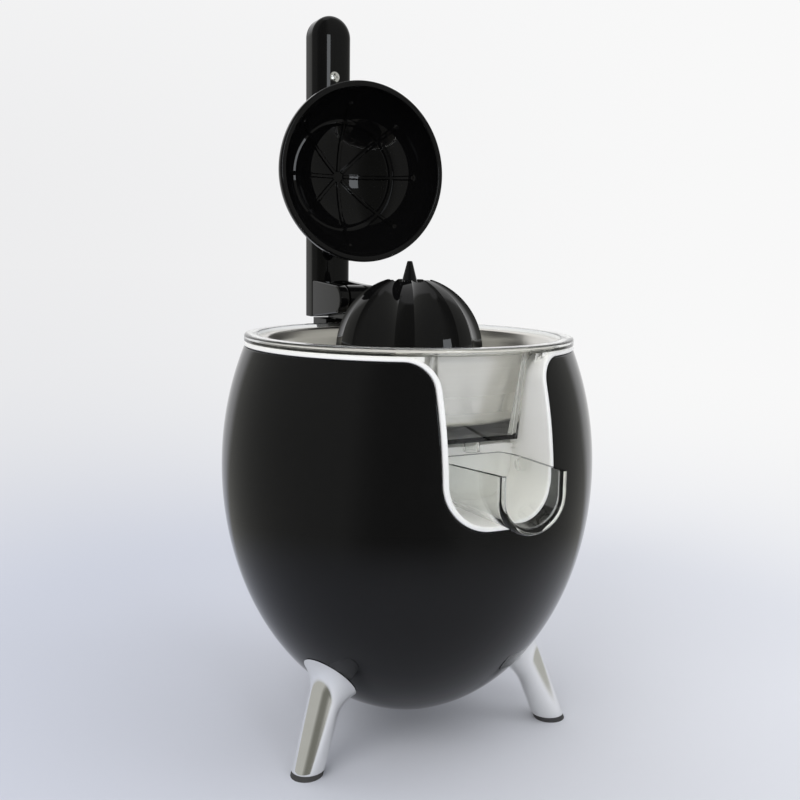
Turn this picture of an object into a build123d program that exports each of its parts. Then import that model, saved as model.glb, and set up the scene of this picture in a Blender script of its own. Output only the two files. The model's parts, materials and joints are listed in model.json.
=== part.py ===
from build123d import *

import math
import os

# Lever citrus press with an egg-shaped body on three legs, in millimetres.
# +Z is up, the origin is on the table under the body's axis, the spout is at -Y and the lever at +Y.

# Gaps shared by all pieces
GAP = 0.3
RUNNING_GAP = 0.05
OVERRUN = 4.0

# Egg-shaped outer shell
EGG_R = 95.0
EGG_HALF_H = 128.0
EGG_CLEAR_H = 10.0
SHELL_WALL = 2.5
SHELL_FOOT_RISE = 10.0
RIM_RISE = 62.0
LEDGE_W = 9.0
LEDGE_H = 8.0
LEDGE_RISE = 6.8
LEDGE_SCREW_INSET = 6.3
LEDGE_ANGLES = (35.0, 145.0, 215.0, 325.0)

# Front notch and the white liner that edges it
NOTCH_HALF_W = 28.5
NOTCH_FLAT_HALF_W = 6.5
NOTCH_MOUTH_R = 11.0
NOTCH_UNDER = 3.5
NOTCH_OVER = 16.0
NOTCH_SPREAD = 40.0
TRIM_WALL = 2.3
TRIM_PROUD = 0.6
LINER_WALL = 2.2
LINER_GAP = 0.6
TUB_TAPER = 5.6
TUB_DEEP = 41.8
RECESS_INSET = 12.0
LINER_TUBE_R = 9.0
LINER_TUBE_DROP = 3.0
EAR_H = 4.0
PILLAR_R = 5.0
PILLAR_INSET = 8.0
PILLAR_ANGLES = (0.0, 135.0, 225.0, 310.0)

# Screws: small ones hold plastic to plastic, long ones hold the motor
SCREW_R = 1.5
SCREW_HEAD_R = 3.0
SCREW_HEAD_H = 2.0
SCREW_BITE = 9.0

# Base cover and vents
COVER_WALL = 2.5
COVER_LIP_H = 5.0
COVER_SCREW_INSET = 6.2
COVER_SCREW_DROP = 2.0
COVER_SCREW_ANGLES = (30.0, 150.0, 270.0)
COVER_BOSS_R = 4.8
LUG_OVER = 5.0
VENT_L = 14.0
VENT_W = 3.0
VENT_PITCH = 6.0
VENT_COUNT = 4

# Legs
FOOT_ANGLES = {"foot_front_left": 208.0, "foot_front_right": 332.0, "foot_rear": 90.0}
FOOT_EGG_RISE = 30.0
FOOT_TOP_OUT = 1.9
FOOT_SPLAY = 16.0
FOOT_R = 8.0
FOOT_SADDLE_R = 14.0
FOOT_FLARE_H = 13.0
FOOT_SADDLE_H = 13.0
FOOT_SEAT_R = 4.5
FOOT_SEAT_RISE = 7.5
FOOT_BITE = 14.0
PAD_H = 2.5
PAD_INSET = 0.4

# Mains inlet bush
INLET_ANGLE = 125.0
INLET_RISE = 32.0
INLET_BORE_R = 3.6
INLET_WALL = 2.4
INLET_FLANGE_W = 3.0
INLET_FLANGE_H = 2.5
INLET_L = 16.0

# Gear train: a small wheel drives a large one twice over
PINION_TEETH = 12
WHEEL_TEETH = 48
MOTOR_MODULE = 1.0
OUTPUT_MODULE = 1.4
ADDENDUM_SHARE = 0.8
DEDENDUM_SHARE = 1.15
TOOTH_ROOT_SHARE = 0.29
TOOTH_TIP_SHARE = 0.115
MOTOR_OFFSET = 22.0
WHEEL_H = 7.0
WHEEL_LIFT = 3.0
OUTPUT_H = 8.0
OUTPUT_LIFT = 4.0
HUB_R = 10.0
HUB_OVER = 2.0
IDLER_OVER = 2.0
AXLE_R = 3.0

# Motor deck and the gear cover above it
DECK_H = 3.0
DECK_EDGE = 6.0
COVER_PLATE_H = 3.0
COVER_PLATE_LIFT = 3.0
COVER_LOBE_W = 7.0
COVER_LEG_R = 4.0
COVER_LEG_GAP = 0.8
COVER_EDGE = 1.0
COVER_LEG_ANGLES = (107.0, 180.0, 255.0, 350.0)

# Motor: it stands as low in the egg as its width allows
STATOR_R = 32.0
STATOR_DEEP = 13.4
STATOR_YOKE = 8.5
STATOR_LIFT = 10.0
STATOR_POLE_W = 9.0
STATOR_POLES = 4
MOTOR_GAP = 7.3
MOTOR_SCREW_INSET = 3.4
MOTOR_SHAFT_R = 3.0
MOTOR_SHAFT_OVER = 3.0
COIL_THICK = 3.0
COIL_OVER = 4.0
COIL_INSET = 1.2
COIL_YOKE_GAP = 1.5
POST_R = 3.2
ROTOR_GAP = 0.6
ROTOR_SLOTS = 12
ROTOR_SLOT_W = 2.0
ROTOR_SLOT_DEEP = 3.0
END_PLATE_H = 3.0
FAN_ROOM_H = 16.0
FAN_DROP = 8.0
FAN_H = 5.0
FAN_GAP = 1.4
FAN_HUB_R = 7.0
FAN_BLADES = 7
FAN_BLADE_W = 1.6

# Drive shaft with its bushes, spring and switch
SHAFT_R = 5.0
SHAFT_FOOT_RISE = 1.0
SHAFT_HEX_L = 28.0
SHAFT_HEX_RISE = 2.0
HEX_SIDES = 6
BUSH_WALL = 2.5
BUSH_FLANGE_W = 2.5
BUSH_FLANGE_H = 1.0
LOWER_BUSH_RISE = 6.0
WASHER_H = 2.0
WASHER_R = 11.0
CLIP_H = 1.2
CLIP_R = 7.5
CLIP_GAP = 4.3
SPRING_H = 10.5
SPRING_WIRE_R = 0.7
SPRING_R = 8.2
SPRING_TURNS = 3.5
TONGUE_W = 7.0
TONGUE_L = 26.0
ROD_R = 1.8
ROD_INSET = 4.0
SWITCH_L = 14.0
SWITCH_W = 8.0
SWITCH_H = 7.0
SWITCH_WELL = 4.0
SEAL_H = 5.0

# Clear juice bowl
BOWL_WALL = 2.0
BOWL_GAP = 1.6
BOWL_FOOT_GAP = 4.0
BOWL_LIFT = 3.8
BOWL_TUBE_GAP = 0.8
BOWL_TUBE_H = 17.0
RING_OVER = 0.1
RING_H = 3.4
RING_ROUND = 1.2
STEP_W = 3.0
STEP_DEEP = 2.6
WINDOW_GAP = 0.9
WINDOW_INSET = 1.0
WINDOW_TAPER = 2.5
WINDOW_SLOPE = 3.0
WINDOW_DEEP = 33.0
OUTLET_INSET = 5.0
OUTLET_R = 4.0
OUTLET_WALL = 1.2
OUTLET_L = 5.0

# Steel strainer basket
STEEL_WALL = 0.8
BASKET_GAP = 2.5
BASKET_FOOT_GAP = 3.0
BASKET_LIFT = 6.0
COLLAR_GAP = 1.0
COLLAR_OVER = 0.5
SLOT_COUNT = 24
SLOT_L = 14.0
SLOT_W = 1.6
SLOT_EDGE = 4.0

# Reamer cone
REAMER_R = 38.0
REAMER_LIFT = 1.5
REAMER_SKIRT_H = 16.0
REAMER_WALL = 2.5
REAMER_RIBS = 7
RIB_ANGLE = 15.0
RIB_START = 240.0
PANEL_SHARE = 0.905
CROWN_PANEL_SHARE = 0.74
DOME_ANGLES = (0.0, 20.0, 40.0, 57.0, 69.0, 76.0)
CROWN_R = 11.0
CROWN_DEEP = 1.9
SPIKE_R = 4.0
SPIKE_TIP_R = 1.4
SPIKE_H = 11.1
REAMER_HUB_WALL = 4.0
REAMER_HUB_RISE = 3.0

# Tilting spout
SPOUT_GAP = 8.0
SPOUT_WALL = 2.0
SPOUT_DROP = 6.0
SPOUT_AHEAD = 10.0
SPOUT_BACK = 12.5
SPOUT_EAR = 4.0
SPOUT_REACH = 41.9
LIP_TAPER = 4.5
LIP_DROP = 19.8
LIP_RISE = 6.0
LIP_BEAD_R = 1.7
TRUNNION_R = 3.0

# Lever and hinge
HINGE_INSET = 13.1
HINGE_LIFT = 14.0
HINGE_EYE_R = 8.0
HINGE_PIN_R = 3.0
TONGUE_HALF_W = 5.0
CHEEK_GAP = 0.6
CHEEK_WALL = 5.9
CHEEK_RISE = 10.0
ARM_EDGE = 0.5
ARM_DEEP = 14.0
ARM_DROP = 12.0
ARM_OVER = 92.0
ARM_ROUND = 6.0
ARM_COVER_H = 3.0
ARM_COVER_ROUND = 2.6
ARM_COVER_SKIN = 0.75
FRONT_SCREW_OVER = 57.0

# Hinge bracket on the back of the shell
SPINE_WALL = 6.0
SPINE_STEP = 8.5
SPINE_L = 58.0
SPINE_ROUND = 4.0
SPINE_GAP = 1.8
TONGUE_LIFT = 2.4
TONGUE_STEP = 2.5
BRACKET_SCREW_RISES = (11.0, 38.0)
BACKING_OVER = 1.0
BACKING_RISE = 5.0
BACKING_DROP = 13.0
BACKING_WALL = 3.0

# Press cup
CUP_R = 48.0
CUP_DROP = 14.0
CUP_CLEAR = 1.0
CUP_WALL = 2.4
CUP_LIP_H = 3.0
CUP_LIP_W = 0.8
CUP_BACK_GAP = 3.0
CUP_PIN_DEEP = 4.5
CUP_PIN_R = 2.5
CUP_PIN_OVER = 4.0
CUP_LUG_R = 5.5
CUP_LUG_HALF_W = 4.6
CUP_SLOT_GAP = 0.4
CUP_SLOT_SWING = 3.5
CUP_SLOT_END = 1.0
GRIP_RIBS = 8
GRIP_H = 0.9
GRIP_W = 1.4
GRIP_RING_R = 30.0
GRIP_END = 8.0
GRIP_DIMPLE_R = 3.0


def egg_radius(z, grow):
    """Radius at height z of the egg with its two radii grown by the given amount."""
    rise = (z - EGG_MID_Z) / (EGG_HALF_H + grow)
    return (EGG_R + grow) * math.sqrt(1 - rise**2)


# Heights of the shell, and the radius of its rim
EGG_MID_Z = EGG_CLEAR_H + EGG_HALF_H
RIM_Z = EGG_MID_Z + RIM_RISE
RIM_R = egg_radius(RIM_Z, 0)
TRIM_TOP_Z = RIM_Z + GAP + TRIM_WALL
SHELL_FOOT_Z = EGG_CLEAR_H + SHELL_FOOT_RISE
LUG_Z = SHELL_FOOT_Z + COVER_LIP_H + GAP
COVER_SCREW_Z = SHELL_FOOT_Z - COVER_SCREW_DROP
COVER_LIP_R = egg_radius(SHELL_FOOT_Z, -SHELL_WALL) - GAP
COVER_SCREW_RING_R = COVER_LIP_R - COVER_SCREW_INSET
INLET_Z = SHELL_FOOT_Z + INLET_RISE
INLET_R = INLET_BORE_R + INLET_WALL
INLET_FLANGE_R = INLET_R + INLET_FLANGE_W
FOOT_EGG_Z = EGG_CLEAR_H + FOOT_EGG_RISE
FOOT_EGG_R = egg_radius(FOOT_EGG_Z, 0) + FOOT_TOP_OUT
FOOT_FLOOR_R = FOOT_EGG_R + FOOT_SPLAY

# Tub of the liner, which hangs inside the rim
TUB_FLOOR_Z = RIM_Z - TUB_DEEP
TUB_TOP_R = egg_radius(RIM_Z, -SHELL_WALL) - LINER_GAP - LINER_WALL
TUB_FOOT_R = TUB_TOP_R - TUB_TAPER
RECESS_BACK_Y = RECESS_INSET - TUB_FOOT_R
PILLAR_RING_R = TUB_FOOT_R - PILLAR_INSET
LEDGE_TOP_Z = TUB_FLOOR_Z + LEDGE_RISE
LEDGE_SCREW_R = egg_radius(LEDGE_TOP_Z, -SHELL_WALL) - LEDGE_SCREW_INSET
LEDGE_R = LEDGE_SCREW_R - LEDGE_W / 2

# Bowl and basket, which nest in the tub
RING_R = RIM_R + RING_OVER
RING_TOP_Z = TRIM_TOP_Z + RING_H
BOWL_TOP_R = TUB_TOP_R - BOWL_GAP - BOWL_WALL
BOWL_FOOT_R = TUB_FOOT_R - BOWL_FOOT_GAP - BOWL_WALL
BOWL_FOOT_Z = TUB_FLOOR_Z + BOWL_LIFT
BOWL_TUBE_R = LINER_TUBE_R + LINER_WALL + BOWL_TUBE_GAP
BOWL_TUBE_TOP_Z = BOWL_FOOT_Z + BOWL_TUBE_H
LINER_TUBE_TOP_Z = BOWL_TUBE_TOP_Z - LINER_TUBE_DROP
STEP_R = BOWL_TOP_R + STEP_W
STEP_Z = RING_TOP_Z - STEP_DEEP
WINDOW_TOP_HALF_W = NOTCH_HALF_W - GAP - TRIM_WALL - WINDOW_GAP
WINDOW_FOOT_HALF_W = WINDOW_TOP_HALF_W - WINDOW_TAPER
WINDOW_TOP_Y = WINDOW_INSET - BOWL_TOP_R
WINDOW_FOOT_Y = WINDOW_TOP_Y + WINDOW_SLOPE
WINDOW_BACK_Y = WINDOW_TOP_Y + WINDOW_DEEP
OUTLET_Y = WINDOW_FOOT_Y + OUTLET_INSET
OUTLET_FOOT_Z = BOWL_FOOT_Z - OUTLET_L
BASKET_TOP_R = BOWL_TOP_R - BASKET_GAP
BASKET_FOOT_R = BOWL_FOOT_R - BASKET_FOOT_GAP
BASKET_FOOT_Z = BOWL_FOOT_Z + BASKET_LIFT
COLLAR_R = BOWL_TUBE_R + BOWL_WALL + COLLAR_GAP
COLLAR_TOP_Z = BOWL_TUBE_TOP_Z + COLLAR_OVER
SLOT_RING_R = BASKET_FOOT_R - SLOT_EDGE - SLOT_L / 2

# Reamer, which stands over the collar
REAMER_FOOT_Z = COLLAR_TOP_Z + REAMER_LIFT
REAMER_MID_Z = REAMER_FOOT_Z + REAMER_SKIRT_H
REAMER_IN_R = REAMER_R * PANEL_SHARE - REAMER_WALL
REAMER_HUB_R = SHAFT_R + REAMER_HUB_WALL
REAMER_HUB_Z = REAMER_FOOT_Z + REAMER_HUB_RISE
CROWN_Z = REAMER_MID_Z + math.sqrt(REAMER_R**2 - CROWN_R**2) - CROWN_DEEP
SPIKE_TOP_Z = CROWN_Z + SPIKE_H

# Spout under the outlet, and the notch that clears it
SPOUT_Y = OUTLET_Y - SPOUT_AHEAD
SPOUT_Z = OUTLET_FOOT_Z - SPOUT_DROP
SPOUT_R = NOTCH_HALF_W - SPOUT_GAP
SPOUT_BACK_Y = SPOUT_Y + SPOUT_BACK
LIP_Y = SPOUT_Y - SPOUT_REACH
LIP_HALF_W = SPOUT_R - LIP_TAPER
LIP_FOOT_Z = SPOUT_Z - LIP_DROP
LIP_TOP_Z = SPOUT_Z + LIP_RISE
NOTCH_FOOT_Z = SPOUT_Z - SPOUT_R - NOTCH_UNDER
NOTCH_CORNER_R = NOTCH_HALF_W - NOTCH_FLAT_HALF_W
NOTCH_TOP_Z = RIM_Z + NOTCH_OVER

# Drive train, stacked downwards from the underside of the tub
WASHER_Z = TUB_FLOOR_Z - LINER_WALL - CLIP_GAP - CLIP_H - WASHER_H
SPRING_FOOT_Z = WASHER_Z - SPRING_H
COVER_PLATE_TOP_Z = SPRING_FOOT_Z - BUSH_FLANGE_H
COVER_PLATE_Z = COVER_PLATE_TOP_Z - COVER_PLATE_H
IDLER_TOP_Z = COVER_PLATE_Z - COVER_PLATE_LIFT
OUTPUT_FOOT_Z = IDLER_TOP_Z - IDLER_OVER - OUTPUT_H
WHEEL_FOOT_Z = OUTPUT_FOOT_Z - OUTPUT_LIFT - WHEEL_H
DECK_TOP_Z = WHEEL_FOOT_Z - WHEEL_LIFT
DECK_Z = DECK_TOP_Z - DECK_H
DECK_R = PILLAR_RING_R + DECK_EDGE
SHAFT_FOOT_Z = DECK_TOP_Z + SHAFT_FOOT_RISE
SHAFT_HEX_Z = REAMER_HUB_Z + SHAFT_HEX_RISE
SHAFT_TOP_Z = SHAFT_HEX_Z + SHAFT_HEX_L
LOWER_BUSH_TOP_Z = DECK_TOP_Z + LOWER_BUSH_RISE
BUSH_R = SHAFT_R + RUNNING_GAP + BUSH_WALL
SWITCH_X = TONGUE_L - ROD_INSET

# Gear centres: the idler meshes with the motor's pinion and with the output wheel
MOTOR_CENTRES = MOTOR_MODULE * (PINION_TEETH + WHEEL_TEETH) / 2
OUTPUT_CENTRES = OUTPUT_MODULE * (PINION_TEETH + WHEEL_TEETH) / 2
OUTPUT_TIP_R = OUTPUT_MODULE * (WHEEL_TEETH / 2 + ADDENDUM_SHARE)
IDLER_Y = (OUTPUT_CENTRES**2 - MOTOR_CENTRES**2 + MOTOR_OFFSET**2) / (2 * MOTOR_OFFSET)
IDLER_X = math.sqrt(OUTPUT_CENTRES**2 - IDLER_Y**2)
MOTOR_TO_IDLER = math.degrees(math.atan2(IDLER_Y - MOTOR_OFFSET, IDLER_X))
OUTPUT_TO_IDLER = math.degrees(math.atan2(IDLER_Y, IDLER_X))
HALF_WHEEL_PITCH = 360.0 / WHEEL_TEETH / 2
HALF_TURN = 180.0
COVER_LEG_RING_R = OUTPUT_TIP_R + COVER_LEG_GAP + COVER_LEG_R
COVER_PLATE_R = COVER_LEG_RING_R + COVER_LEG_R + COVER_EDGE

# Motor between the deck and the height at which the egg clears it
MOTOR_REACH = MOTOR_OFFSET + STATOR_R + MOTOR_GAP
MOTOR_SHARE = math.sqrt(1 - (MOTOR_REACH / (EGG_R - SHELL_WALL)) ** 2)
END_PLATE_Z = EGG_MID_Z - (EGG_HALF_H - SHELL_WALL) * MOTOR_SHARE
STATOR_FOOT_Z = END_PLATE_Z + STATOR_LIFT
STATOR_H = DECK_Z - FAN_ROOM_H - STATOR_FOOT_Z
STATOR_BORE_R = STATOR_R - STATOR_DEEP
COIL_IN_R = STATOR_BORE_R + COIL_INSET
COIL_OUT_R = STATOR_R - STATOR_YOKE - COIL_YOKE_GAP
MOTOR_SCREW_RING_R = STATOR_R - MOTOR_SCREW_INSET
MOTOR_SHAFT_FOOT_Z = END_PLATE_Z - MOTOR_SHAFT_OVER
FAN_Z = DECK_Z - FAN_DROP
FAN_R = MOTOR_SCREW_RING_R - POST_R - FAN_GAP

# Lever: folded down it brings the cup over the reamer's axis, clear of the spike
HINGE_Y = RIM_R - HINGE_INSET
HINGE_Z = RING_TOP_Z + HINGE_LIFT
CUP_Z = HINGE_Z + HINGE_Y
CUP_MOUTH_Y = HINGE_Y - CUP_DROP
CUP_DEPTH = SPIKE_TOP_Z - HINGE_Z + CUP_DROP + CUP_CLEAR + GRIP_H + CUP_WALL
CHEEK_GAP_HALF_W = TONGUE_HALF_W + CHEEK_GAP
CHEEK_HALF_W = CHEEK_GAP_HALF_W + CHEEK_WALL
CHEEK_TOP_Z = HINGE_Z + CHEEK_RISE
ARM_FRONT_Y = CUP_MOUTH_Y + CUP_DEPTH + CUP_BACK_GAP
ARM_BACK_Y = ARM_FRONT_Y + ARM_DEEP
ARM_HALF_W = CHEEK_HALF_W + ARM_EDGE
ARM_FOOT_Z = HINGE_Z - ARM_DROP
ARM_TOP_Z = CUP_Z + ARM_OVER
FRONT_SCREW_Z = CUP_Z + FRONT_SCREW_OVER
CUP_PIN_Y = ARM_FRONT_Y + CUP_PIN_DEEP
CUP_SLOT_HALF_W = CUP_LUG_HALF_W + CUP_SLOT_GAP
CUP_SLOT_HALF_H = CUP_LUG_R + CUP_SLOT_SWING
CUP_SLOT_DEEP = CUP_PIN_DEEP + CUP_LUG_R + CUP_SLOT_END
CUP_PIN_HALF_L = CUP_SLOT_HALF_W + CUP_PIN_OVER
SPINE_HALF_W = TONGUE_HALF_W + SPINE_WALL
SPINE_BACK_Y = ARM_FRONT_Y + SPINE_STEP
SPINE_FOOT_Z = RIM_Z - SPINE_L
SPINE_INNER_Y = RING_R + SPINE_GAP
TONGUE_UNDER_Z = RING_TOP_Z + TONGUE_LIFT
TONGUE_BACK_Y = ARM_FRONT_Y - TONGUE_STEP
BRACKET_SCREW_ZS = [SPINE_FOOT_Z + rise for rise in BRACKET_SCREW_RISES]
BACKING_HALF_W = SPINE_HALF_W + BACKING_OVER
BACKING_FOOT_Z = SPINE_FOOT_Z + BACKING_RISE
BACKING_TOP_Z = RIM_Z - BACKING_DROP

finished = {}


def keep(label, built):
    """Label a finished piece and remember it for the files written at the end."""
    built.part.label = label
    finished[label] = built.part


def egg_solid(grow):
    """The whole egg, grown all round, for trimming what lies against the shell."""
    with BuildPart() as egg:
        with BuildSketch(Plane.XZ):
            with Locations((0, EGG_MID_Z)):
                Ellipse(EGG_R + grow, EGG_HALF_H + grow)
                Rectangle(
                    EGG_R + grow + OVERRUN,
                    2 * (EGG_HALF_H + grow + OVERRUN),
                    align=(Align.MAX, Align.CENTER),
                    mode=Mode.SUBTRACT,
                )
        revolve(axis=Axis.Z)
    return egg.part


def notch_sketch(inset):
    """The U-shaped notch seen from the front, drawn in all round, with a flared open top."""
    half = NOTCH_HALF_W - inset
    rim = RIM_Z + inset
    with BuildSketch(Plane.XZ) as notch:
        with Locations((0, NOTCH_FOOT_Z + inset)):
            Rectangle(2 * half, NOTCH_TOP_Z - NOTCH_FOOT_Z - inset, align=(Align.CENTER, Align.MIN))
        fillet(notch.vertices().group_by(Axis.Y)[0], NOTCH_CORNER_R - inset)
        with Locations((0, rim)):
            Rectangle(2 * (half + NOTCH_SPREAD), NOTCH_TOP_Z - rim, align=(Align.CENTER, Align.MIN))
        mouth = notch.vertices().filter_by_position(Axis.X, -half - GAP, half + GAP)
        mouth = mouth.filter_by_position(Axis.Y, rim - GAP, rim + GAP)
        fillet(mouth, NOTCH_MOUTH_R + inset)
    return notch.sketch


def ring_sector(angle):
    """A plane on the table whose X axis points outwards at the given angle."""
    turn = math.radians(angle)
    return Plane(origin=(0, 0, 0), x_dir=(math.cos(turn), math.sin(turn), 0), z_dir=(0, 0, 1))


def draw_gear(teeth, module, start):
    """Draw a spur wheel with straight-sided teeth in the sketch that is open."""
    pitch_r = module * teeth / 2
    root_r = pitch_r - DEDENDUM_SHARE * module
    tip_r = pitch_r + ADDENDUM_SHARE * module
    root_half = TOOTH_ROOT_SHARE * math.pi * module
    tip_half = TOOTH_TIP_SHARE * math.pi * module
    Circle(root_r)
    with PolarLocations(0, teeth, start_angle=start):
        Polygon(
            (root_r - module, -root_half),
            (tip_r, -tip_half),
            (tip_r, tip_half),
            (root_r - module, root_half),
            align=None,
        )


def draw_reamer(radius, panel):
    """Draw the reamer's outline in the open sketch: rib arcs joined by hollowed panels.

    The middle of each panel lies at the given share of the radius.
    """
    pitch = math.radians(360.0 / REAMER_RIBS)
    half_rib = math.radians(RIB_ANGLE / 2)
    with BuildLine() as outline:
        for rib in range(REAMER_RIBS):
            middle = math.radians(RIB_START) + rib * pitch
            next_rib = middle + pitch - half_rib
            turns = [middle - half_rib, middle, middle + half_rib, middle + pitch / 2, next_rib]
            reach = [radius, radius, radius, radius * panel, radius]
            points = [(r * math.cos(turn), r * math.sin(turn)) for r, turn in zip(reach, turns)]
            ThreePointArc(*points[:3])
            ThreePointArc(*points[2:])
    make_face(outline.edges())


def foot_plane(angle):
    """A plane at a leg's contact with the table, with its Z axis up along the sloping leg."""
    turn = math.radians(angle)
    out = Vector(math.cos(turn), math.sin(turn), 0)
    axis = Vector(0, 0, FOOT_EGG_Z) - out * (FOOT_FLOOR_R - FOOT_EGG_R)
    return Plane(origin=out * FOOT_FLOOR_R, x_dir=out.cross(Vector(0, 0, 1)), z_dir=axis)


notch_cut = notch_sketch(0)
trim_outside = notch_sketch(GAP)
trim_inside = notch_sketch(GAP + TRIM_WALL)
egg_full = egg_solid(0)
egg_trim = egg_solid(TRIM_PROUD)
egg_clear = egg_solid(GAP)
egg_hollow = egg_solid(-SHELL_WALL - GAP)
egg_backing = egg_solid(-SHELL_WALL - GAP - BACKING_WALL)
egg_cover_hollow = egg_solid(-COVER_WALL)
foot_length = math.hypot(FOOT_EGG_Z, FOOT_FLOOR_R - FOOT_EGG_R)
inlet_plane = Plane((0, 0, INLET_Z), x_dir=(0, 0, 1), z_dir=ring_sector(INLET_ANGLE).x_dir)
motor_axis = Plane((0, MOTOR_OFFSET, 0))
idler_axis = Plane((IDLER_X, IDLER_Y, 0))
cover_legs = [
    (COVER_LEG_RING_R * math.cos(math.radians(angle)), COVER_LEG_RING_R * math.sin(math.radians(angle)))
    for angle in COVER_LEG_ANGLES
]

# Outer shell: a thin egg cut open at the top, at the foot and in a notch at the front
with BuildPart() as outer_shell:
    with BuildSketch(Plane.XZ):
        with Locations((0, EGG_MID_Z)):
            Ellipse(EGG_R, EGG_HALF_H)
            Ellipse(EGG_R - SHELL_WALL, EGG_HALF_H - SHELL_WALL, mode=Mode.SUBTRACT)
        with Locations((0, SHELL_FOOT_Z)):
            Rectangle(
                EGG_R + OVERRUN, RIM_Z - SHELL_FOOT_Z, align=(Align.MIN, Align.MIN), mode=Mode.INTERSECT
            )
    revolve(axis=Axis.Z)
    extrude(notch_cut, amount=EGG_R + OVERRUN, mode=Mode.SUBTRACT)
    # holes for the screws of the lever bracket and for the mains inlet
    with BuildSketch(Plane.XZ):
        with Locations(*[(0, z) for z in BRACKET_SCREW_ZS]):
            Circle(SCREW_R + GAP)
    extrude(amount=-EGG_R - OVERRUN, mode=Mode.SUBTRACT)
    with BuildSketch(inlet_plane):
        Circle(INLET_R + GAP)
    extrude(amount=EGG_R, mode=Mode.SUBTRACT)
    # ledges inside, on which the liner's ears are screwed down
    for angle in LEDGE_ANGLES:
        with BuildSketch(ring_sector(angle).offset(LEDGE_TOP_Z)):
            with Locations((LEDGE_R, 0)):
                Rectangle(EGG_R - SHELL_WALL - LEDGE_R, LEDGE_W, align=(Align.MIN, Align.CENTER))
            with Locations((LEDGE_SCREW_R, 0)):
                Circle(SCREW_R + GAP, mode=Mode.SUBTRACT)
        extrude(amount=-LEDGE_H)
    # lugs above the foot, into which the base cover is screwed
    lug_in_r = COVER_SCREW_RING_R - LUG_OVER
    lug_end_r = egg_radius(LUG_Z + LEDGE_H, 0)
    for angle in COVER_SCREW_ANGLES:
        with BuildSketch(ring_sector(angle).offset(LUG_Z)):
            with Locations((lug_in_r, 0)):
                Rectangle(lug_end_r - lug_in_r, LEDGE_W, align=(Align.MIN, Align.CENTER))
            with Locations((COVER_SCREW_RING_R, 0)):
                Circle(SCREW_R + RUNNING_GAP, mode=Mode.SUBTRACT)
        extrude(amount=LEDGE_H)
    # seats inside for the heads of the leg screws
    for angle in FOOT_ANGLES.values():
        with BuildSketch(foot_plane(angle).offset(foot_length)):
            Circle(FOOT_SEAT_R)
        extrude(amount=FOOT_SEAT_RISE)
        with BuildSketch(foot_plane(angle)):
            Circle(SCREW_R + GAP)
        extrude(amount=foot_length + FOOT_SEAT_RISE + OVERRUN, mode=Mode.SUBTRACT)
    add(egg_full, mode=Mode.INTERSECT)
keep("outer_shell", outer_shell)

# Channel of the recess: U-shaped walls and a back wall, its front edge a little proud of the egg
with BuildPart() as recess:
    extrude(trim_outside.moved(Location((0, RECESS_BACK_Y + LINER_WALL, 0))), amount=EGG_R)
    add(egg_trim, mode=Mode.INTERSECT)
    split(bisect_by=Plane.XY.offset(TRIM_TOP_Z), keep=Keep.BOTTOM)

# Inner liner: a white tub with a flange on the shell's rim and the recess for the spout
with BuildPart() as inner_liner:
    with BuildSketch(Plane.XZ):
        with BuildLine():
            Polyline(
                (0, TUB_FLOOR_Z - LINER_WALL),
                (TUB_FOOT_R + LINER_WALL, TUB_FLOOR_Z - LINER_WALL),
                (TUB_TOP_R + LINER_WALL, RIM_Z + GAP),
                (egg_radius(RIM_Z, 0) + GAP, RIM_Z + GAP),
                (egg_radius(RIM_Z, 0) + GAP, TRIM_TOP_Z),
                (0, TRIM_TOP_Z),
                close=True,
            )
        make_face()
    revolve(axis=Axis.Z)
    # ears that stand on the shell's ledges
    for angle in LEDGE_ANGLES:
        with BuildSketch(ring_sector(angle).offset(LEDGE_TOP_Z)):
            with Locations((TUB_FOOT_R, 0)):
                Rectangle(
                    LEDGE_SCREW_R + LEDGE_W / 2 - TUB_FOOT_R, LEDGE_W, align=(Align.MIN, Align.CENTER)
                )
        extrude(amount=EAR_H)
    add(recess.part)
    # the hollow of the tub
    with BuildSketch(Plane.XZ):
        with BuildLine():
            Polyline(
                (0, TUB_FLOOR_Z),
                (TUB_FOOT_R, TUB_FLOOR_Z),
                (TUB_TOP_R, TRIM_TOP_Z),
                (0, TRIM_TOP_Z),
                close=True,
            )
        make_face()
    revolve(axis=Axis.Z, mode=Mode.SUBTRACT)
    # the hollow of the recess, open to the front and the top
    extrude(trim_inside.moved(Location((0, RECESS_BACK_Y, 0))), amount=EGG_R, mode=Mode.SUBTRACT)
    # the tube that keeps juice away from the drive shaft
    with BuildSketch(Plane.XY.offset(TUB_FLOOR_Z)):
        Circle(LINER_TUBE_R + LINER_WALL)
    extrude(amount=LINER_TUBE_TOP_Z - TUB_FLOOR_Z)
    with BuildSketch(Plane.XY.offset(LINER_TUBE_TOP_Z)):
        Circle(LINER_TUBE_R)
    extrude(amount=TUB_FLOOR_Z - LINER_WALL - LINER_TUBE_TOP_Z, mode=Mode.SUBTRACT)
    # pillars from which the motor deck hangs
    with BuildSketch(Plane.XY.offset(DECK_TOP_Z)):
        for angle in PILLAR_ANGLES:
            with PolarLocations(PILLAR_RING_R, 1, start_angle=angle):
                Circle(PILLAR_R)
                Circle(SCREW_R + RUNNING_GAP, mode=Mode.SUBTRACT)
    extrude(amount=TUB_FLOOR_Z - LINER_WALL - DECK_TOP_Z)
    # screw holes in the ears and pivot holes of the spout
    with BuildSketch(Plane.XY.offset(LEDGE_TOP_Z)):
        for angle in LEDGE_ANGLES:
            with PolarLocations(LEDGE_SCREW_R, 1, start_angle=angle):
                Circle(SCREW_R + RUNNING_GAP)
    extrude(amount=EAR_H, mode=Mode.SUBTRACT)
    with BuildSketch(Plane.YZ):
        with Locations((SPOUT_Y, SPOUT_Z)):
            Circle(TRUNNION_R + RUNNING_GAP)
    extrude(amount=NOTCH_HALF_W, both=True, mode=Mode.SUBTRACT)
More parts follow.
